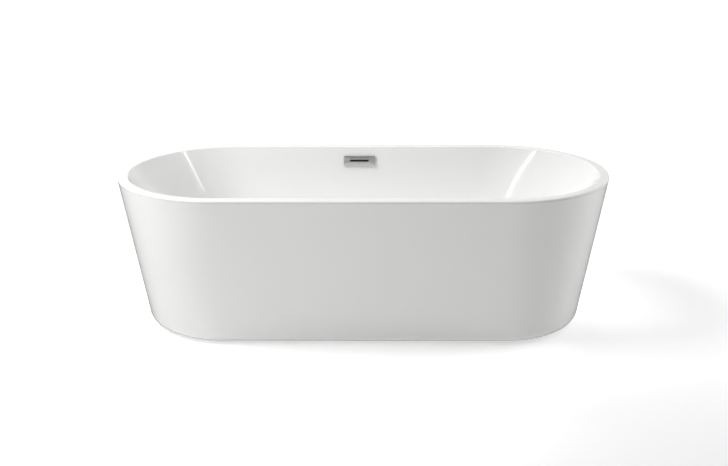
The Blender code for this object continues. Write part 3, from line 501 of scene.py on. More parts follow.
def zinc_plate():
    """Bright zinc under a thin chromate film: a cool grey metal, with cloudy patches a centimetre across."""
    made, tree, shader, place = material("zinc_plated_steel", Metallic=1.0)
    cloud = add(tree, "ShaderNodeTexNoise", {"Vector": place, "Scale": 1 / 0.010, "Detail": 4.0})
    tint = add(tree, "ShaderNodeValToRGB", {"Fac": cloud.outputs[0]})
    tint.color_ramp.elements[0].position, tint.color_ramp.elements[0].color = 0.3, colour("#a9aeb4")
    tint.color_ramp.elements[1].position, tint.color_ramp.elements[1].color = 0.7, colour("#cdd0d2")
    gloss = add(tree, "ShaderNodeMapRange", {0: cloud.outputs[0], 3: 0.24, 4: 0.42})
    tree.links.new(tint.outputs["Color"], shader.inputs["Base Color"])
    tree.links.new(gloss.outputs[0], shader.inputs["Roughness"])
    return made


def round_line(radius, z, around=48):
    """A circle at z."""
    turn = np.linspace(0, 2 * math.pi, around, endpoint=False)
    return np.column_stack([radius * np.cos(turn), radius * np.sin(turn), np.full(around, z)])


def turned(name, profile, finish, around=48, ends="joined", sharp=35):
    """A round piece from (radius, z) pairs."""
    rings = [round_line(radius, z, around) for radius, z in profile]
    return lofted(name, rings, [finish], ends, sharp=sharp)


def put(obj, matrix):
    """Carries a piece to its place, with the place in its mesh."""
    if not isinstance(matrix, Matrix):
        matrix = Matrix.Translation(matrix)
    obj.data.transform(matrix)
    return obj


def joined(name, *parts):
    """One object from several, with their finishes kept."""
    first = parts[0]
    coats = [coat for part in parts for coat in part.data.materials]
    work = bmesh.new()
    start = 0
    for part in parts:
        before = len(work.faces)
        work.from_mesh(part.data)
        work.faces.ensure_lookup_table()
        for face in work.faces[before:]:
            face.material_index += start
        start += len(part.data.materials)
    first.data.materials.clear()
    kept = []
    for coat in coats:
        if coat not in kept:
            kept.append(coat)
            first.data.materials.append(coat)
    for face in work.faces:
        face.material_index = kept.index(coats[face.material_index])
    work.to_mesh(first.data)
    work.free()
    first.name = first.data.name = name
    discard(*parts[1:])
    return first


def cut_away(obj, tool):
    """Cuts one closed shape out of another for good."""
    step = obj.modifiers.new("cut", "BOOLEAN")
    step.object, step.operation, step.solver = tool, "DIFFERENCE", "EXACT"
    bpy.context.view_layer.update()
    shape = bpy.data.meshes.new_from_object(obj.evaluated_get(bpy.context.evaluated_depsgraph_get()))
    obj.modifiers.clear()
    obj.data = shape
    discard(tool)
    return obj


def cross_recess(width, depth):
    """The tapering cross that a driver fits, from just above 0 down to its depth."""
    wing = width / 6
    arm = width / 2
    corners = [(arm, -wing), (arm, wing), (wing, wing), (wing, arm), (-wing, arm), (-wing, wing),
               (-arm, wing), (-arm, -wing), (-wing, -wing), (-wing, -arm), (wing, -arm), (wing, -wing)]
    rings = [[(x * share, y * share, -depth * (1 - share) * 2) for x, y in corners] for share in (1.1, 0.5)]
    return lofted("recess", rings, [], ends="capped")


def wood_screw(name, head, shank, head_height, length, finish):
    """A screw along +Z: a pan head below 0, a plain neck, then a coarse thread up to the point. Its thread is
    drawn as closed ridges, which look the same at this size."""
    pitch, root, crest = 0.0018, shank * 0.72, shank * 0.28
    profile = [(0, -head_height), (head * 0.55, -head_height * 0.96), (head * 0.85, -head_height * 0.72),
               (head, -head_height * 0.3), (head, 0), (shank, 0), (shank, length * 0.2)]
    turns = int((length * 0.8 - 0.002) / pitch * 2)
    for step in range(turns):
        z = length * 0.2 + step * pitch / 2
        profile.append((root if step % 2 else root + crest, z))
    profile += [(shank * 0.5, length - 0.0015), (0, length)]
    made = turned(name, profile, finish, around=16, ends="points", sharp=50)
    driver = put(cross_recess(head, head_height * 0.9),
                 Matrix.Translation((0, 0, -head_height)) @ Matrix.Rotation(math.pi, 4, "X"))
    return cut_away(made, driver)


def copies_on_points():
    """One part set on each point of a mesh."""
    tree, given, output = new_tree("copies_on_points", ("Places", "Object"), ("Copy", "Object"),
                                   ("Finish", "Material"))
    places = add(tree, "GeometryNodeObjectInfo", {"Object": given["Places"]}, transform_space="RELATIVE")
    copy = add(tree, "GeometryNodeObjectInfo", {"Object": given["Copy"]})
    laid = add(tree, "GeometryNodeInstanceOnPoints", {
        "Points": places.outputs["Geometry"], "Instance": copy.outputs["Geometry"]})
    end_with(tree, laid.outputs[0], given["Finish"], output)
    return tree


def points_of(name, places):
    """A mesh that is only the points given."""
    mesh = bpy.data.meshes.new(name)
    mesh.from_pydata([tuple(place) for place in places], [], [])
    return pattern(name, mesh)


zinc = zinc_plate()
screw_nodes = [f"board_screw_{number}" for number in range(1, 5)]
screw_low, screw_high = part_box(screw_nodes[0])
screw_head = 0.003
one_screw = wood_screw("one_screw", (screw_high.x - screw_low.x) / 2, 0.0020, screw_head,
                       screw_high.z - screw_low.z - screw_head, zinc)
spots = points_of("screw_places", [(*((low + high) / 2).xy, low.z + screw_head)
                                   for low, high in map(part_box, screw_nodes)])
board_screws = grown("board_screws", copies_on_points(), {"Places": spots, "Copy": one_screw, "Finish": zinc})
discard(spots, one_screw)
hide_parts(*screw_nodes)
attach(board_screws, "tub")

# ---------------------------------------------------------------- feet
# Four levelling feet: an M12 rod with rolled threads screws through a nut welded under the end rail and is
# locked by a second nut. It turns in a rubber pad with a ribbed sole, by a spanner on its hexagon.

rod_radius, rod_pitch, thread_depth = 0.006, 0.00175, 0.00095
rod_hexagon = (0.016, 0.024)
nut_flats, nut_bore = 0.019, 0.0063
pad_height, pad_sole = 0.014, 0.005
drop, drop_spacing, seam_radius = 0.0021, 0.0024, 0.0112


def moulded_rubber():
    """Black EPDM from a mould: matt, with a fine grain half a millimetre across and a little grey bloom."""
    made, tree, shader, place = material("moulded_rubber", Roughness=0.72, Specular_IOR_Level=0.35)
    bloom = add(tree, "ShaderNodeTexNoise", {"Vector": place, "Scale": 1 / 0.015, "Detail": 5.0})
    tint = add(tree, "ShaderNodeValToRGB", {"Fac": bloom.outputs[0]})
    tint.color_ramp.elements[0].position, tint.color_ramp.elements[0].color = 0.35, colour("#1b1b1c")
    tint.color_ramp.elements[1].position, tint.color_ramp.elements[1].color = 0.75, colour("#2e2e2f")
    grain = add(tree, "ShaderNodeTexNoise", {"Vector": place, "Scale": 1 / 0.0005, "Detail": 2.0})
    bump = add(tree, "ShaderNodeBump", {"Height": grain.outputs[0], "Strength": 0.4, "Distance": 0.0001})
    tree.links.new(tint.outputs["Color"], shader.inputs["Base Color"])
    tree.links.new(bump.outputs["Normal"], shader.inputs["Normal"])
    return made


def hex_line(flats, z, around=48, limit=None):
    """A hexagon at z, rounded off where the chamfer's circle cuts its corners."""
    turn = np.linspace(0, 2 * math.pi, around, endpoint=False)
    from_corner = (turn + math.pi / 6) % (math.pi / 3) - math.pi / 6
    radius = flats / 2 / np.cos(math.pi / 6 - np.abs(from_corner))
    if limit:
        radius = np.minimum(radius, limit)
    return np.column_stack([radius * np.cos(turn), radius * np.sin(turn), np.full(around, z)])


def hex_nut(name, flats, bore, base, height, finish):
    """A nut with both faces chamfered at 30 degrees and a countersunk bore."""
    bevel, sink = flats * 0.045, 0.0008
    rings = [hex_line(flats, base, limit=flats * 0.49), hex_line(flats, base + bevel),
             hex_line(flats, base + height - bevel), hex_line(flats, base + height, limit=flats * 0.49),
             round_line(bore + sink, base + height), round_line(bore, base + height - sink),
             round_line(bore, base + sink), round_line(bore + sink, base)]
    return lofted(name, rings, [finish], sharp=25)


def threaded_rod(name, radius, low, high, hex_low, hex_high, finish):
    """A round foot, a hexagon for the spanner and a rolled thread up to the chamfered end."""
    around, steps, bevel = 24, 6, 0.0005
    flats, limit = 2 * radius + 0.002, radius + 0.0015
    turn = np.linspace(0, 2 * math.pi, around, endpoint=False)
    rings = [round_line(0.0, low, around), round_line(radius * 0.8, low, around),
             round_line(radius, low + 0.001, around), round_line(radius, hex_low, around),
             hex_line(flats, hex_low, around, limit), hex_line(flats, hex_low + bevel, around),
             hex_line(flats, hex_high - bevel, around), hex_line(flats, hex_high, around, limit),
             round_line(radius * 0.86, hex_high, around)]
    for z in np.arange(hex_high + 0.001, high - 0.0012, rod_pitch / steps):
        phase = (z / rod_pitch - turn / (2 * math.pi)) % 1
        groove = np.clip(np.abs(phase - 0.5) * 2.6 - 0.3, 0, 1) * thread_depth
        fade = min(1.0, (high - z) / 0.0024, (z - hex_high) / 0.002)
        reach = radius - thread_depth * (1 - fade) - groove * fade
        rings.append(np.column_stack([reach * np.cos(turn), reach * np.sin(turn), np.full(around, z)]))
    rings += [round_line(radius - thread_depth - 0.0002, high, around), round_line(0.0, high, around)]
    return lofted(name, rings, [finish], ends="points", sharp=30)


def foot_pad(name, radius, finish):
    """A round pad that stands on three rings, with a socket in its neck for the rod's end."""
    neck, socket, groove, rib_step = 0.0130, 0.0066, 0.0008, 0.004
    profile = [(0, groove)]
    for number in range(3):
        start = 0.0045 + number * 2 * rib_step
        profile += [(start, groove), (start + 0.0005, 0)]
        if number < 2:
            profile += [(start + rib_step, 0), (start + rib_step + 0.0005, groove)]
    profile += [(radius - 0.0012, 0), (radius - 0.0003, 0.0006), (radius, 0.0018), (radius, pad_sole - 0.001),
                (radius - 0.0006, pad_sole - 0.0002), (radius - 0.0030, pad_sole + 0.0006),
                (neck + 0.0022, pad_height - 0.0028), (neck - 0.0004, pad_height - 0.0005),
                (neck - 0.0014, pad_height), (socket + 0.0006, pad_height), (socket, pad_height - 0.0008),
                (socket, pad_sole), (0, pad_sole)]
    return turned(name, profile, finish, around=64, sharp=40)


rubber = moulded_rubber()
bead_drop = pattern("bead_drop", ball("bead_drop", drop))
for number in range(1, 5):
    pad_low, pad_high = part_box(f"foot_pad_{number}")
    centre = Vector(((pad_low.x + pad_high.x) / 2, (pad_low.y + pad_high.y) / 2, 0))
    rod_low, rod_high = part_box(f"foot_rod_{number}")
    pad = put(foot_pad(f"foot_{number}_pad", (pad_high.x - pad_low.x) / 2, rubber), centre)
    rod = threaded_rod(f"foot_{number}_rod", rod_radius, rod_low.z, rod_high.z, *rod_hexagon, zinc)
    put(rod, centre)
    nuts = []
    for kind in ("weld", "jam"):
        nut_low, nut_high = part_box(f"foot_{kind}_nut_{number}")
        nut = hex_nut(f"foot_{number}_{kind}_nut", nut_flats, nut_bore, nut_low.z, nut_high.z - nut_low.z, zinc)
        nuts.append(put(nut, centre))
        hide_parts(f"foot_{kind}_nut_{number}")
    ring = line_of("nut_seam", [(round_line(seam_radius, rail_low.z, 24) + centre).tolist()], closed=True)
    seam = grown(f"foot_{number}_weld", bpy.data.node_groups["copies_along_path"],
                 {"Path": ring, "Copy": bead_drop, "Spacing": drop_spacing, "Finish": paint})
    discard(ring)
    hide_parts(f"foot_pad_{number}")
    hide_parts(f"foot_rod_{number}")
    for piece, body, finish in ((pad, f"foot_{number}", "black_rubber"), (rod, f"rod_{number}", "zinc_steel"),
                                (seam, "tub", "powder_coat"), (nuts[0], "tub", "zinc_steel"),
                                (nuts[1], "tub", "zinc_steel")):
        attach(piece, body)
discard(bead_drop)

# ---------------------------------------------------------------- waste fitting
# A chromed brass flange screws down into its locknut and squeezes two rubber rings against the floor. The
# moulded polypropylene body below takes the overflow hose; a slip nut and washer hold the tail pipe.


def chromed_brass():
    """Mirror chrome over polished brass, with hair scratches that run every way and show only as softness."""
    made, tree, shader, place = material("chromed_brass", Base_Color=colour("#d5d7d9"), Metallic=1.0)
    hairs = add(tree, "ShaderNodeTexNoise",
                {"Vector": place, "Scale": 1 / 0.002, "Detail": 8.0, "Roughness": 0.8})
    gloss = add(tree, "ShaderNodeMapRange", {0: hairs.outputs[0], 1: 0.3, 2: 0.8, 3: 0.04, 4: 0.14})
    tree.links.new(gloss.outputs[0], shader.inputs["Roughness"])
    return made


def moulded_plastic(name, light, dark):
    """Polypropylene as it leaves the mould: waxy, with faint flow marks 30 mm apart and a spark-eroded grain,
    drawn at 1.2 mm so that it shows."""
    made, tree, shader, place = material(name, Roughness=0.38)
    flow = add(tree, "ShaderNodeTexNoise",
               {"Vector": place, "Scale": 1 / 0.030, "Detail": 4.0, "Distortion": 1.5})
    tint = add(tree, "ShaderNodeValToRGB", {"Fac": flow.outputs[0]})
    tint.color_ramp.elements[0].position, tint.color_ramp.elements[0].color = 0.35, colour(dark)
    tint.color_ramp.elements[1].position, tint.color_ramp.elements[1].color = 0.65, colour(light)
    skin = add(tree, "ShaderNodeTexNoise", {"Vector": place, "Scale": 1 / 0.0012, "Detail": 2.0})
    bump = add(tree, "ShaderNodeBump", {"Height": skin.outputs[0], "Strength": 0.25, "Distance": 0.0001})
    tree.links.new(tint.outputs["Color"], shader.inputs["Base Color"])
    tree.links.new(bump.outputs["Normal"], shader.inputs["Normal"])
    return made


def ring_of_copies():
    """Copies of one part, equally spaced round the Z axis at a radius and a height."""
    tree, given, output = new_tree("ring_of_copies", ("Copy", "Object"), ("Count", "Int"),
                                   ("Radius", "Float"), ("Height", "Float"), ("Finish", "Material"))
    copy = add(tree, "GeometryNodeObjectInfo", {"Object": given["Copy"]})
    circle = add(tree, "GeometryNodeMeshCircle", {"Vertices": given["Count"], "Radius": given["Radius"]})
    lift = add(tree, "ShaderNodeCombineXYZ", {"Z": given["Height"]})
    raised = add(tree, "GeometryNodeTransform", {"Geometry": circle.outputs[0], "Translation": lift.outputs[0]})
    number = add(tree, "GeometryNodeInputIndex")
    whole = add(tree, "ShaderNodeMath", {0: number.outputs[0], 1: 2 * math.pi}, operation="MULTIPLY")
    angle = add(tree, "ShaderNodeMath", {0: whole.outputs[0], 1: given["Count"]}, operation="DIVIDE")
    turn = add(tree, "ShaderNodeCombineXYZ", {"Z": angle.outputs[0]})
    laid = add(tree, "GeometryNodeInstanceOnPoints", {
        "Points": raised.outputs[0], "Instance": copy.outputs["Geometry"], "Rotation": turn.outputs[0]})
    end_with(tree, laid.outputs[0], given["Finish"], output)
    return tree


def rib(name, size, slope=0.8):
    """A small raised bar on a wall that faces +X: size is how far it stands out, its width and its height.
    Its face is narrower than its foot by the slope, and a little shorter."""
    out, wide, tall = size
    rings = [[(x, y * wide / 2 * narrower, z * tall / 2 * shorter)
              for y, z in ((-1, -1), (1, -1), (1, 1), (-1, 1))]
             for x, narrower, shorter in ((-out, 1, 1), (out, slope, 0.94))]
    made = lofted(name, rings, [], ends="capped", sharp=20)
    made.data.shade_flat()
    return made


chrome = chromed_brass()
white_plastic = moulded_plastic("white_polypropylene", "#eceae4", "#dedbd2")
around_rings = ring_of_copies()
waste_at = Vector((waste_x, 0, 0))
flange_low, flange_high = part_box("drain_flange")
flange_radius, flange_base = (flange_high.x - flange_low.x) / 2, 0.1384
sleeve, sleeve_bore, sleeve_thread, half_pitch = 0.0257, 0.022, 0.0007, 0.001
flange_profile = [
    (sleeve_bore, flange_low.z), (sleeve - 0.0006, flange_low.z), (sleeve, flange_low.z + 0.0006)]
for step in range(int((flange_base - 0.004 - flange_low.z - 0.002) / half_pitch)):
    flange_profile.append((sleeve - step % 2 * sleeve_thread, flange_low.z + 0.0015 + step * half_pitch))
flange_profile += [
    (sleeve, flange_base - 0.003), (sleeve, flange_base), (flange_radius - 0.0003, flange_base),
    (flange_radius, flange_base + 0.0004), (flange_radius - 0.0004, flange_base + 0.0013),
    (flange_radius - 0.0016, flange_high.z - 0.0004), (flange_radius - 0.0032, flange_high.z),
    (sleeve_bore + 0.0032, flange_high.z), (sleeve_bore + 0.0010, flange_high.z - 0.0006),
    (sleeve_bore, flange_high.z - 0.0022)]
flange = put(turned("waste_flange", flange_profile, chrome, around=96, sharp=38), waste_at)
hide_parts("drain_flange")

nut_low, nut_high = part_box("drain_locknut")
nut_radius = (nut_high.x - nut_low.x) / 2
core, lug_out, sleeve_clear = nut_radius - 0.0035, 0.0034, 0.0263
lug = rib("lug", (lug_out, 0.010, nut_high.z - nut_low.z))
lugs = grown("waste_locknut_lugs", around_rings, {
    "Copy": lug, "Count": 8, "Radius": core, "Height": (nut_low.z + nut_high.z) / 2, "Finish": white_plastic})
locknut = turned("waste_locknut", [
    (sleeve_clear, nut_low.z), (core - 0.001, nut_low.z), (core, nut_low.z + 0.001), (core, nut_high.z - 0.002),
    (nut_radius - 0.001, nut_high.z - 0.0018), (nut_radius - 0.001, nut_high.z), (sleeve_clear, nut_high.z)],
    white_plastic, around=72)
locknut = put(joined("waste_locknut", locknut, lugs), waste_at)
discard(lug)
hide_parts("drain_locknut")

body_low, body_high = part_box("drain_body")
socket_z, barrel = body_high.z - 0.0187, 0.027
branch_z, branch_reach = body_high.z - 0.0517, body_high.y
collar = 0.0313
body = turned("waste_body", [
    (sleeve_bore, body_low.z), (barrel - 0.0008, body_low.z), (barrel, body_low.z + 0.0008),
    (barrel, body_low.z + 0.008), (barrel - 0.0008, body_low.z + 0.009), (barrel, body_low.z + 0.010),
    (barrel, socket_z - 0.007), (collar, socket_z - 0.002), (collar, body_high.z - 0.003),
    (collar, body_high.z - 0.0006), (collar - 0.0006, body_high.z), (sleeve_clear, body_high.z),
    (sleeve_clear, socket_z), (sleeve_bore, socket_z)], white_plastic, around=72)
web = rib("web", (0.0032, 0.0022, 0.017))
webs = grown("webs", around_rings, {
    "Copy": web, "Count": 12, "Radius": 0.0282, "Height": socket_z - 0.0055, "Finish": white_plastic})
discard(web)
barb = turned("branch", [
    (0.0085, 0.024), (0.0125, 0.024), (0.0118, 0.027), (0.0105, 0.030), (0.0105, 0.042), (0.0109, 0.0425),
    (0.0105, 0.046), (0.0109, 0.0465), (0.0105, 0.050), (0.0109, 0.0505), (0.0100, branch_reach - 0.0006),
    (0.0092, branch_reach), (0.0085, branch_reach - 0.0006)], white_plastic, around=32)
put(barb, Matrix.Translation((0, 0, branch_z)) @ Matrix.Rotation(-math.pi / 2, 4, "X"))
body = put(joined("waste_body", body, webs, barb), waste_at)
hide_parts("drain_body")

tail_low, tail_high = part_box("tailpiece")
tail_radius = (tail_high.x - tail_low.x) / 2
tail = put(turned("waste_tail", [
    (tail_radius - 0.0020, tail_low.z + 0.0004), (tail_radius - 0.0016, tail_low.z),
    (tail_radius - 0.0006, tail_low.z),
    (tail_radius, tail_low.z + 0.0015), (tail_radius, tail_high.z - 0.0005),
    (tail_radius - 0.0005, tail_high.z), (tail_radius - 0.0020, tail_high.z)],
    white_plastic, around=72), waste_at)
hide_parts("tailpiece")

slip_low, slip_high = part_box("slip_nut")
slip_radius = (slip_high.x - slip_low.x) / 2
slip_core, tail_clear, thread_clear, shoulder_z = slip_radius - 0.0016, 0.0203, 0.0276, 0.0360
grip = rib("grip", (0.0015, 0.0032, slip_high.z - slip_low.z - 0.006), slope=0.6)
grips = grown("grips", around_rings, {
    "Copy": grip, "Count": 28, "Radius": slip_core, "Height": (slip_low.z + slip_high.z) / 2 + 0.001,
    "Finish": white_plastic})
discard(grip)
slip = turned("waste_slip_nut", [
    (tail_clear, slip_low.z), (slip_core - 0.004, slip_low.z), (slip_core - 0.0005, slip_low.z + 0.003),
    (slip_core, slip_low.z + 0.004), (slip_core, slip_high.z - 0.0022),
    (slip_radius - 0.0002, slip_high.z - 0.0020), (slip_radius - 0.0002, slip_high.z - 0.0003),
    (slip_radius - 0.0006, slip_high.z), (thread_clear, slip_high.z), (thread_clear, shoulder_z),
    (tail_clear, shoulder_z)], white_plastic, around=72)
slip = put(joined("waste_slip_nut", slip, grips), waste_at)
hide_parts("slip_nut")

recoat(rubber, "flange_seal", "lower_gasket", "slip_washer")
for piece, finish in ((flange, "chromed_brass"), (locknut, "white_plastic"), (body, "white_plastic"),
                      (tail, "white_plastic"), (slip, "white_plastic")):
    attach(piece, "tub")

# ---------------------------------------------------------------- pop-up plug
# A spun brass cap, chromed and polished, over a rubber seal. Its stainless stem slides in a plastic guide
# inside the sleeve, and pressing the cap lifts it 9 mm.

cap_low, cap_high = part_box("plug_cap")
cap_radius, cap_edge_z, cap_fullness = (cap_high.x - cap_low.x) / 2, cap_low.z + 0.0018, 0.75
dome = [(cap_radius * math.sin(turn), cap_edge_z + (cap_high.z - cap_edge_z) * math.cos(turn) ** cap_fullness)
        for turn in arc_line(86, 4, 14)]
cap = turned("plug_cap_polished", [
    (0, cap_low.z), (cap_radius - 0.0010, cap_low.z), (cap_radius - 0.0003, cap_low.z + 0.0003),
    (cap_radius, cap_low.z + 0.0010), (cap_radius, cap_edge_z), *dome, (0, cap_high.z)],
    chrome, around=96, ends="points", sharp=50)
put(cap, waste_at)
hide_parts("plug_cap")
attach(cap, "plug")


def bright_steel():
    """Drawn stainless bar: fine lines round the bar from the lathe, a fifth of a millimetre apart."""
    made, tree, shader, place = material("bright_stainless_bar", Base_Color=colour("#c4c5c4"), Metallic=1.0)
    lines = add(tree, "ShaderNodeMapping", {"Vector": place, "Scale": (60.0, 60.0, 1 / 0.0002)})
    marks = add(tree, "ShaderNodeTexNoise", {"Vector": lines.outputs[0], "Scale": 1.0, "Detail": 2.0})
    gloss = add(tree, "ShaderNodeMapRange", {0: marks.outputs[0], 3: 0.18, 4: 0.34})
    tree.links.new(gloss.outputs[0], shader.inputs["Roughness"])
    return made


recoat(bright_steel(), "plug_stem")
recoat(rubber, "plug_seal")
recoat(white_plastic, "plug_guide")

# ---------------------------------------------------------------- overflow
# A brushed stainless cover, 118 mm long with a slot, clips over a carrier plate that two screws hold to the
# wall. The screws also pull up the plastic box behind, which sends the water down the hose.

overflow_drop, cover_stand = 0.052, 0.0003
cover_size, cover_height, cover_face, cover_rim = (0.118, 0.035), 0.007, 0.0018, 0.003
slot_size, window_size = (0.071, 0.007), (0.084, 0.014)
screw_reach = window_size[0] / 2 + 0.007
housing_size, housing_depth = (0.110, 0.030), 0.0224
wall_spot = (waste_x, half_width - rim_width - side_lean * overflow_drop, rim_top - overflow_drop)
on_wall = Matrix.Translation(wall_spot) @ Matrix.Rotation(math.atan2(1, side_lean), 4, "X")


def brushed_stainless():
    """Stainless sheet with a long-line brushed finish: its grooves run along the cover, 0.35 mm apart."""
    made, tree, shader, place = material("brushed_stainless_sheet", Base_Color=colour("#c9c9c8"), Metallic=1.0,
                                         Anisotropic=0.6)
    stretched = add(tree, "ShaderNodeMapping",
                    {"Vector": place, "Scale": (1 / 0.040, 1 / 0.00035, 1 / 0.00035)})
    lines = add(tree, "ShaderNodeTexNoise", {"Vector": stretched.outputs[0], "Scale": 1.0, "Detail": 3.0})
    gloss = add(tree, "ShaderNodeMapRange", {0: lines.outputs[0], 1: 0.3, 2: 0.7, 3: 0.26, 4: 0.42})
    bump = add(tree, "ShaderNodeBump", {"Height": lines.outputs[0], "Strength": 0.35, "Distance": 0.00005})
    tree.links.new(gloss.outputs[0], shader.inputs["Roughness"])
    tree.links.new(bump.outputs["Normal"], shader.inputs["Normal"])
    return made


def soft_corners(size, radius, z, steps=7):
    """A rectangle with round corners at z. A radius of half its height makes a slot with round ends."""
    width, height = size[0] / 2 - radius, size[1] / 2 - radius
    points = []
    for side_x, side_y, start in ((1, 1, 0), (-1, 1, 90), (-1, -1, 180), (1, -1, 270)):
        for turn in arc_line(start, start + 90, steps):
            points.append((side_x * width + radius * math.cos(turn),
                           side_y * height + radius * math.sin(turn), z))
    return points


def shrunk(size, by):
    """A length and a width, each less by the same amount."""
    return size[0] - by, size[1] - by


stainless = brushed_stainless()
face_z = cover_stand + cover_height
corner, chamfer = 0.0016, 0.0007
slot_round = slot_size[1] / 2
cover = lofted("overflow_cover", [
    soft_corners(cover_size, corner, cover_stand),
    soft_corners(cover_size, corner, face_z - chamfer),
    soft_corners(shrunk(cover_size, chamfer * 0.6), corner - chamfer * 0.3, face_z - chamfer * 0.25),
    soft_corners(shrunk(cover_size, chamfer * 2), corner - chamfer, face_z),
    soft_corners(shrunk(slot_size, -2 * chamfer), slot_round + chamfer, face_z),
    soft_corners(slot_size, slot_round, face_z - chamfer),
    soft_corners(slot_size, slot_round, face_z - cover_face),
    soft_corners(shrunk(cover_size, 2 * cover_rim), corner, face_z - cover_face),
    soft_corners(shrunk(cover_size, 2 * cover_rim), corner, cover_stand)], [stainless], sharp=20)
put(cover, on_wall)
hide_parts("overflow_plate")
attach(cover, "tub")

# The wall has a window behind the slot and a hole for each screw.
window = lofted("window", [soft_corners(window_size, window_size[1] / 2, z) for z in (-2 * sheet, 2 * sheet)],
                [], ends="capped")
cut_away(basin, put(window, on_wall))
for side in (-1, 1):
    hole = lofted("hole", [round_line(0.0023, z, 16) for z in (-2 * sheet, 2 * sheet)], [], ends="capped")
    cut_away(basin, put(hole, on_wall @ Matrix.Translation((side * screw_reach, 0, 0))))
basin.data.shade_smooth()
basin.data.set_sharp_from_angle(angle=math.radians(40))

carrier_size = shrunk(cover_size, 2 * cover_rim + 0.002)
carrier_z, carrier_thick = gap, 0.0015
carrier = lofted("overflow_bracket", [
    soft_corners(carrier_size, 0.002, carrier_z), soft_corners(carrier_size, 0.002, carrier_z + carrier_thick),
    soft_corners(window_size, window_size[1] / 2, carrier_z + carrier_thick),
    soft_corners(window_size, window_size[1] / 2, carrier_z)], [stainless], sharp=20)
put(carrier, on_wall)
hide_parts("overflow_carrier")
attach(carrier, "tub")

head_at = carrier_z + carrier_thick + gap
for side, word in ((-1, "left"), (1, "right")):
    screw = wood_screw(f"overflow_fixing_{word}", 0.0044, 0.0020, 0.0019, 0.0198, zinc)
    head_first = Matrix.Translation((side * screw_reach, 0, head_at)) @ Matrix.Rotation(math.pi, 4, "X")
    put(screw, on_wall @ head_first)
    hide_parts(f"overflow_screw_{word}")
    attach(screw, "tub")

grey_plastic = moulded_plastic("grey_polypropylene", "#7d8082", "#6c6f71")
recoat(rubber, "overflow_gasket")
recoat(grey_plastic, "overflow_housing")

# ---------------------------------------------------------------- overflow hose
# A corrugated polypropylene hose, 23 mm across, drops from the box between the basin and the skirt and
# runs under the frame to the waste. Its rings are 4 mm apart, with plain cuffs under worm-drive clamps.

hose_radius, ring_spacing, ring_depth, cuff, hose_step = 0.0115, 0.0040, 0.0014, 0.020, 0.0007
bend_fall, bend_reach, bend_handle = 0.102, 0.119, 0.064
spigot_drop = housing_size[1] / 2 + 0.025 + gap
spigot_back = sheet + 0.002 + 2 * gap + housing_depth / 2


def cubic(corners, share):
    """A point of the curve from the first corner to the last, pulled towards the two between."""
    a, b, c, d = corners
    rest = 1 - share
    return rest**3 * a + 3 * rest**2 * share * b + 3 * rest * share**2 * c + share**3 * d


def hose_route():
    """The middle of the hose, from the box's spigot to the branch of the waste body."""
    start = on_wall @ Vector((0, -spigot_drop, -spigot_back))
    fall = (on_wall.to_3x3() @ Vector((0, -1, 0))).normalized()
    end = Vector((waste_x, branch_reach + gap, branch_z))
    bend_start = start + fall * ((start.z - branch_z - bend_fall) / -fall.z)
    bend_end = Vector((waste_x, bend_start.y - bend_reach, branch_z))
    corners = (bend_start, bend_start + fall * bend_handle, bend_end + Vector((0, bend_handle, 0)), bend_end)
    points = [start.lerp(bend_start, step / 12) for step in range(12)]
    points += [cubic(corners, step / 24) for step in range(25)]
    points += [bend_end.lerp(end, step / 4) for step in (1, 2, 3, 4)]
    return points, fall


def corrugated_tube():
    """A tube along a path. Its radius swells at every ring, apart from a plain cuff at each end."""
    tree, given, output = new_tree("corrugated_tube", ("Path", "Object"), ("Radius", "Float"),
                                   ("Spacing", "Float"), ("Depth", "Float"), ("Cuff", "Float"),
                                   ("Step", "Float"), ("Finish", "Material"))
    path = add(tree, "GeometryNodeObjectInfo", {"Object": given["Path"]}, transform_space="RELATIVE")
    fine = add(tree, "GeometryNodeResampleCurve",
               {"Curve": path.outputs["Geometry"], "Length": given["Step"]}, mode="LENGTH")
    along = add(tree, "GeometryNodeSplineParameter")
    whole = add(tree, "GeometryNodeSplineLength")
    rings = add(tree, "ShaderNodeMath", {0: along.outputs["Length"], 1: given["Spacing"]}, operation="DIVIDE")
    turn = add(tree, "ShaderNodeMath", {0: rings.outputs[0], 1: 2 * math.pi}, operation="MULTIPLY")
    wave = add(tree, "ShaderNodeMath", {0: turn.outputs[0]}, operation="COSINE")
    trough = add(tree, "ShaderNodeMath", {0: wave.outputs[0], 1: 0.5, 2: 0.5}, operation="MULTIPLY_ADD")
    left = add(tree, "ShaderNodeMath", {0: whole.outputs[0], 1: along.outputs["Length"]}, operation="SUBTRACT")
    nearest = add(tree, "ShaderNodeMath", {0: along.outputs["Length"], 1: left.outputs[0]}, operation="MINIMUM")
    ribbed = add(tree, "ShaderNodeMath", {0: nearest.outputs[0], 1: given["Cuff"]}, operation="GREATER_THAN")
    sunk = add(tree, "ShaderNodeMath", {0: trough.outputs[0], 1: ribbed.outputs[0]}, operation="MULTIPLY")
    depth = add(tree, "ShaderNodeMath", {0: sunk.outputs[0], 1: given["Depth"]}, operation="MULTIPLY")
    radius = add(tree, "ShaderNodeMath", {0: given["Radius"], 1: depth.outputs[0]}, operation="SUBTRACT")
    section = add(tree, "GeometryNodeCurvePrimitiveCircle", {"Resolution": 28, "Radius": 1.0})
    sized = add(tree, "GeometryNodeSetCurveRadius", {"Curve": fine.outputs[0], "Radius": radius.outputs[0]})
    tube = add(tree, "GeometryNodeCurveToMesh", {"Curve": sized.outputs[0], "Profile Curve": section.outputs[0],
                                                 "Scale": radius.outputs[0], "Fill Caps": True})
    end_with(tree, tube.outputs[0], given["Finish"], output)
    return tree


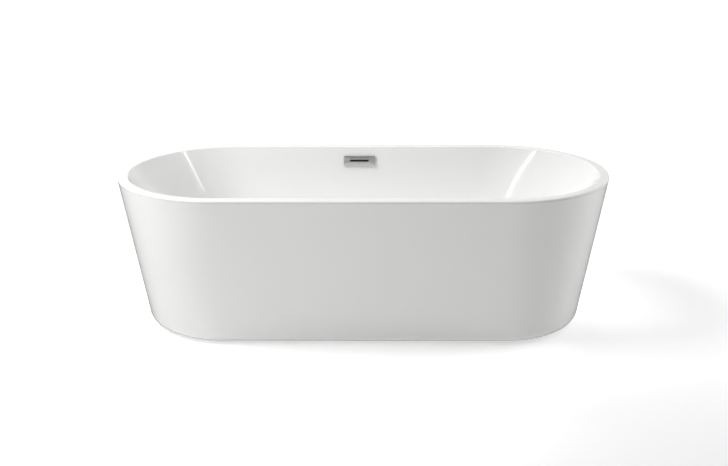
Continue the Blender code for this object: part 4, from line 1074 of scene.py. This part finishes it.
def recalculated(obj, sharp=35):
    """A closed mesh with its faces turned outwards, smooth but for its real edges."""
    work = bmesh.new()
    work.from_mesh(obj.data)
    bmesh.ops.remove_doubles(work, verts=work.verts, dist=1e-6)
    bmesh.ops.recalc_face_normals(work, faces=work.faces)
    work.to_mesh(obj.data)
    work.free()
    obj.data.shade_smooth()
    obj.data.set_sharp_from_angle(angle=math.radians(sharp))
    return obj


route, fall = hose_route()
hose_path = line_of("hose_path", [route])
hose = grown("overflow_pipe", corrugated_tube(), {
    "Path": hose_path, "Radius": hose_radius, "Spacing": ring_spacing, "Depth": ring_depth, "Cuff": cuff,
    "Step": hose_step, "Finish": grey_plastic})
recalculated(hose)
discard(hose_path)
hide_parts("overflow_hose")
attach(hose, "tub")


def worm_clamp(name, inner, finish):
    """A slotted steel band with the housing of its worm screw."""
    outer, width = inner + 0.0015, 0.009
    band = turned("band", [(inner, -width / 2), (inner + 0.0008, -width / 2), (inner + 0.0008, width / 2),
                           (inner, width / 2)], finish, around=48)
    notch = rib("notch", (0.0002, 0.0006, width * 0.6), slope=0.9)
    notches = grown("notches", around_rings, {
        "Copy": notch, "Count": 54, "Radius": inner + 0.00085, "Height": 0.0, "Finish": finish})
    discard(notch)
    box = [soft_corners((0.013, width), 0.0012, z) for z in (inner + 0.0003, outer - 0.0001)]
    box.append(soft_corners((0.0125, width - 0.0006), 0.0010, outer))
    housing = lofted("worm_box", box, [finish], ends="capped", sharp=25)
    put(housing, Matrix.Rotation(math.pi / 2, 4, "Y") @ Matrix.Rotation(math.pi / 2, 4, "Z"))
    return joined(name, band, notches, housing)


for word, middle, direction in (("upper", route[0] + fall * 0.0085, fall),
                                ("lower", route[-1] + Vector((0, 0.0085, 0)), Vector((0, 1, 0)))):
    clamp = worm_clamp(f"clamp_{word}", hose_radius + gap, zinc)
    put(clamp, Matrix.Translation(middle) @ direction.to_track_quat("Z", "Y").to_matrix().to_4x4())
    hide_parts(f"hose_clamp_{word}")
    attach(clamp, "tub")

# ---------------------------------------------------------------- outer skirt
# The tapering outer shell is drawn from the same acrylic as the basin, in one piece, rolls under at the foot
# and is laminated behind. It meets the rim's lip in a hairline joint.

skirt_low, skirt_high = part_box("outer_skirt")
skirt_roll, skirt_return, cut_bevel, end_points = 0.037, 0.015, 0.001, 97


def skirt_face(inset, foot_z, radius):
    """(reach beyond half the tub's width, height) pairs down one face of the skirt."""
    top_reach = half_width - inset * math.hypot(1, outer_lean)
    levels = [skirt_high.z, *np.linspace(skirt_high.z, foot_z + radius, 10)[1:-1]]
    levels += reversed(wall_levels(foot_z, radius, outer_lean, 12))
    return [(wall_reach(z, top_reach, outer_lean, foot_z, radius, widest) - half_width, z) for z in levels]


def tub_sweep():
    """Sweeps a section round two half circles of a reach, set apart by the tub's straight stretch."""
    tree, given, output = new_tree("tub_sweep", ("Section", "Object"), ("Reach", "Float"),
                                   ("Straight", "Float"), ("Points per end", "Int"), ("Finish", "Material"))
    section = add(tree, "GeometryNodeObjectInfo", {"Object": given["Section"]}, transform_space="RELATIVE")
    total = add(tree, "ShaderNodeMath", {0: given["Points per end"], 1: 2.0}, operation="MULTIPLY")
    ring = add(tree, "GeometryNodeMeshCircle", {"Vertices": total.outputs[0]})
    number = add(tree, "GeometryNodeInputIndex")
    local = add(tree, "ShaderNodeMath",
                {0: number.outputs[0], 1: given["Points per end"]}, operation="MODULO")
    last = add(tree, "ShaderNodeMath", {0: given["Points per end"], 1: 1.0}, operation="SUBTRACT")
    share = add(tree, "ShaderNodeMath", {0: local.outputs[0], 1: last.outputs[0]}, operation="DIVIDE")
    turn = add(tree, "ShaderNodeMath",
               {0: share.outputs[0], 1: math.pi, 2: -math.pi / 2}, operation="MULTIPLY_ADD")
    second = add(tree, "ShaderNodeMath",
                 {0: number.outputs[0], 1: given["Points per end"]}, operation="DIVIDE")
    half = add(tree, "ShaderNodeMath", {0: second.outputs[0]}, operation="FLOOR")
    side = add(tree, "ShaderNodeMath", {0: half.outputs[0], 1: -2.0, 2: 1.0}, operation="MULTIPLY_ADD")
    cosine = add(tree, "ShaderNodeMath", {0: turn.outputs[0]}, operation="COSINE")
    sine = add(tree, "ShaderNodeMath", {0: turn.outputs[0]}, operation="SINE")
    out_x = add(tree, "ShaderNodeMath",
                {0: cosine.outputs[0], 1: given["Reach"], 2: given["Straight"]}, operation="MULTIPLY_ADD")
    x = add(tree, "ShaderNodeMath", {0: out_x.outputs[0], 1: side.outputs[0]}, operation="MULTIPLY")
    out_y = add(tree, "ShaderNodeMath", {0: sine.outputs[0], 1: given["Reach"]}, operation="MULTIPLY")
    y = add(tree, "ShaderNodeMath", {0: out_y.outputs[0], 1: side.outputs[0]}, operation="MULTIPLY")
    spot = add(tree, "ShaderNodeCombineXYZ", {"X": x.outputs[0], "Y": y.outputs[0]})
    shaped = add(tree, "GeometryNodeSetPosition", {"Geometry": ring.outputs[0], "Position": spot.outputs[0]})
    path = add(tree, "GeometryNodeMeshToCurve", {"Mesh": shaped.outputs[0]})
    level_path = add(tree, "GeometryNodeSetCurveNormal", {"Curve": path.outputs[0]}, mode="Z_UP")
    swept = add(tree, "GeometryNodeCurveToMesh", {"Curve": level_path.outputs[0],
                                                  "Profile Curve": section.outputs["Geometry"]})
    end_with(tree, swept.outputs[0], given["Finish"], output)
    return tree


outer = skirt_face(0.0, skirt_low.z, skirt_roll)
inner = skirt_face(sheet, skirt_low.z + sheet, skirt_roll - sheet)
returned = outer[-1][0] - skirt_return
outline = [*outer, (returned + cut_bevel, skirt_low.z), (returned, skirt_low.z + cut_bevel),
           (returned, skirt_low.z + sheet - cut_bevel), (returned + cut_bevel / 2, skirt_low.z + sheet),
           *reversed(inner)]
section = line_of("skirt_section", [[(reach, -z, 0) for reach, z in outline]], closed=True)
skirt = grown("skirt_shell", tub_sweep(), {"Section": section, "Reach": half_width, "Straight": straight,
                                           "Points per end": end_points, "Finish": acrylic})
discard(section)
recalculated(skirt, 40)

# The faces that look inwards, and the top of the foot's return, carry the laminate.
skirt.data.materials.append(laminate)
for face in skirt.data.polygons:
    spine = Vector((max(-straight, min(straight, face.center.x)), 0, 0))
    outward = (face.center - spine).xy.normalized()
    facing_in = face.normal.xy.dot(outward) < -0.02 or (face.normal.z > 0.5 and face.center.z < 0.1)
    if facing_in and face.center.z < skirt_high.z - 0.0005:
        face.material_index = 1
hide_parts("outer_skirt")
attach(skirt, "tub")

# ---------------------------------------------------------------- resin bonds
# Polyester resin thickened with chopped glass, trowelled in by hand: a fillet under the whole rim and four
# pads between the end rails and the skirt. It sets off-white, uneven and a little glossy.


def resin_paste():
    """Thick resin with strands in it: trowel marks 8 mm apart and small sharp highlights."""
    made, tree, shader, place = material("resin_paste", Roughness=0.34, IOR=1.55)
    trowel = add(tree, "ShaderNodeTexNoise",
                 {"Vector": place, "Scale": 1 / 0.008, "Detail": 5.0, "Distortion": 0.7})
    tint = add(tree, "ShaderNodeValToRGB", {"Fac": trowel.outputs[0]})
    tint.color_ramp.elements[0].position, tint.color_ramp.elements[0].color = 0.3, colour("#a99f80")
    tint.color_ramp.elements[1].position, tint.color_ramp.elements[1].color = 0.7, colour("#d8d1b8")
    bump = add(tree, "ShaderNodeBump", {"Height": trowel.outputs[0], "Strength": 0.9, "Distance": 0.0015})
    tree.links.new(tint.outputs["Color"], shader.inputs["Base Color"])
    tree.links.new(bump.outputs["Normal"], shader.inputs["Normal"])
    return made


paste = resin_paste()
recoat(paste, "rim_bond")
bond_size, bond_waist, bond_corner, bond_lumps, bond_gap = 0.025, 0.0016, 0.0035, 0.012, 0.0003
bond_widest = half_width - sheet * math.hypot(1, outer_lean) - bond_gap
dice = np.random.default_rng(11)
for number in range(1, 5):
    pad_low, pad_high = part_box(f"skirt_bond_pad_{number}")
    side = 1 if pad_low.y > 0 else -1
    near = pad_low.y if side > 0 else pad_high.y
    middle_x, middle_z = (pad_low.x + pad_high.x) / 2, (pad_low.z + pad_high.z) / 2
    rings = []
    for share in np.linspace(0, 1, 9):
        pinch = bond_waist * math.sin(math.pi * share)
        ring = np.array(soft_corners((bond_size - 2 * pinch, bond_size - 2 * pinch), bond_corner, 0.0, 5))
        ring[:, :2] *= 1 - np.abs(dice.normal(size=(len(ring), 1))) * bond_lumps
        z = middle_z + ring[:, 1]
        skirt_back = bond_widest - outer_lean * (widest - z)
        y = (1 - share) * near + share * side * skirt_back
        rings.append(np.column_stack([middle_x + ring[:, 0], y, z]))
    pad = lofted(f"resin_pad_{number}", rings, [paste], ends="capped", sharp=60)
    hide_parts(f"skirt_bond_pad_{number}")
    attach(pad, "tub")

# ---------------------------------------------------------------- studio
# A white floor runs back out of sight. Soft boxes overhead and at the sides light the tub, and its long side
# is darkest where neither side box reaches. They don't show in the gloss, which reflects the bright horizon
# and two thin strips.

white = (1, 1, 1, 1)
floor_radius = 30.0


def white_floor():
    """Matt white vinyl that glows: a little painted light where the tub shades it, filling in its shadow, and
    more where no lamp reaches.
    """
    made, tree, shader, place = material("white_vinyl_floor", Base_Color=colour("#f4f4f4"), Roughness=0.9,
                                         Specular_IOR_Level=0.1, Emission_Color=white)
    away = add(tree, "ShaderNodeVectorMath", {0: place}, operation="LENGTH").outputs["Value"]
    # Each glow goes from one strength to another between two distances from the middle, in metres.
    # Painted light: the near glow fills in the tub's shadow on the floor and brightens the foot of its walls.
    near = add(tree, "ShaderNodeMapRange", {0: away, 1: 0.7, 2: 1.4, 3: 0.32, 4: 0.0})
    far = add(tree, "ShaderNodeMapRange", {0: away, 1: 1.2, 2: 4.8, 3: 0.0, 4: 1.0})
    glow = add(tree, "ShaderNodeMath", {0: near.outputs[0], 1: far.outputs[0]}, operation="ADD")
    tree.links.new(glow.outputs[0], shader.inputs["Emission Strength"])
    return made


floor = lofted("studio_floor", [round_line(floor_radius, z, 64) for z in (-0.002, 0.0)], [white_floor()],
               ends="capped")
floor.visible_glossy = False
floor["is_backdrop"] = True

# The air is brightest at the horizon. It dims to a third upwards, and to an eighth just below.
world = bpy.data.worlds.new("studio_air")
world.use_nodes = True
air = world.node_tree
heading = add(air, "ShaderNodeSeparateXYZ", {0: add(air, "ShaderNodeTexCoord").outputs["Object"]})
below = add(air, "ShaderNodeMapRange", {0: heading.outputs["Z"], 1: -0.06, 2: -0.045, 3: 0.12, 4: 1.0})
above = add(air, "ShaderNodeMapRange", {0: heading.outputs["Z"], 1: 0.06, 2: 0.26, 3: 1.0, 4: 0.3})
bright = add(air, "ShaderNodeMath", {0: below.outputs[0], 1: above.outputs[0]}, operation="MULTIPLY")
air.links.new(bright.outputs[0], air.nodes["Background"].inputs["Strength"])
air.nodes["Background"].inputs["Color"].default_value = white
world.cycles_visibility.diffuse = False
bpy.context.scene.world = world
bpy.context.scene.view_settings.view_transform = "Standard"


def soft_box(name, place, aim, size, watts, upright=(0, 0, 1)):
    """A rectangular lamp whose light goes from place to aim, with its height along upright."""
    lamp = bpy.data.lights.new(name, "AREA")
    lamp.shape, lamp.size, lamp.size_y, lamp.energy = "RECTANGLE", *size, watts
    made = bpy.data.objects.new(name, lamp)
    back = (Vector(place) - Vector(aim)).normalized()
    side = Vector(upright).cross(back).normalized()
    made.matrix_world = Matrix((side, back.cross(side), back)).transposed().to_4x4()
    made.location = place
    bpy.context.scene.collection.objects.link(made)
    return made


middle = (0, 0, rim_top / 2)
for name, place, size, watts in (
        ("upper_left_box", (-2.0, -0.5, 3.0), (1.4, 1.4), 94),
        ("upper_right_box", (2.0, 0.0, 3.0), (1.4, 1.4), 33),
        ("front_left_box", (-2.0, -2.5, 2.6), (1.4, 1.4), 8),
        ("left_box", (-2.62, -1.84, 1.6), (1.2, 1.0), 18),
        ("right_box", (3.09, 0.83, 0.5), (1.2, 0.8), 40),
        ("back_box", (0.0, 2.2, 2.8), (2.4, 1.4), 58)):
    soft_box(name, place, middle, size, watts).visible_glossy = False
for name, place, aim, size, watts, upright in (
        ("left_strip", (-1.98, -2.10, 2.24), (0.60, 0.28, 0.45), (0.14, 1.1), 8, (-0.45, 0.55, 0.77)),
        ("right_strip", (2.50, -1.27, 2.42), (-0.65, 0.26, 0.47), (0.10, 0.7), 3, (0.06, 0.24, 0.57))):
    soft_box(name, place, aim, size, watts, upright).visible_diffuse = False

low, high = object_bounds()
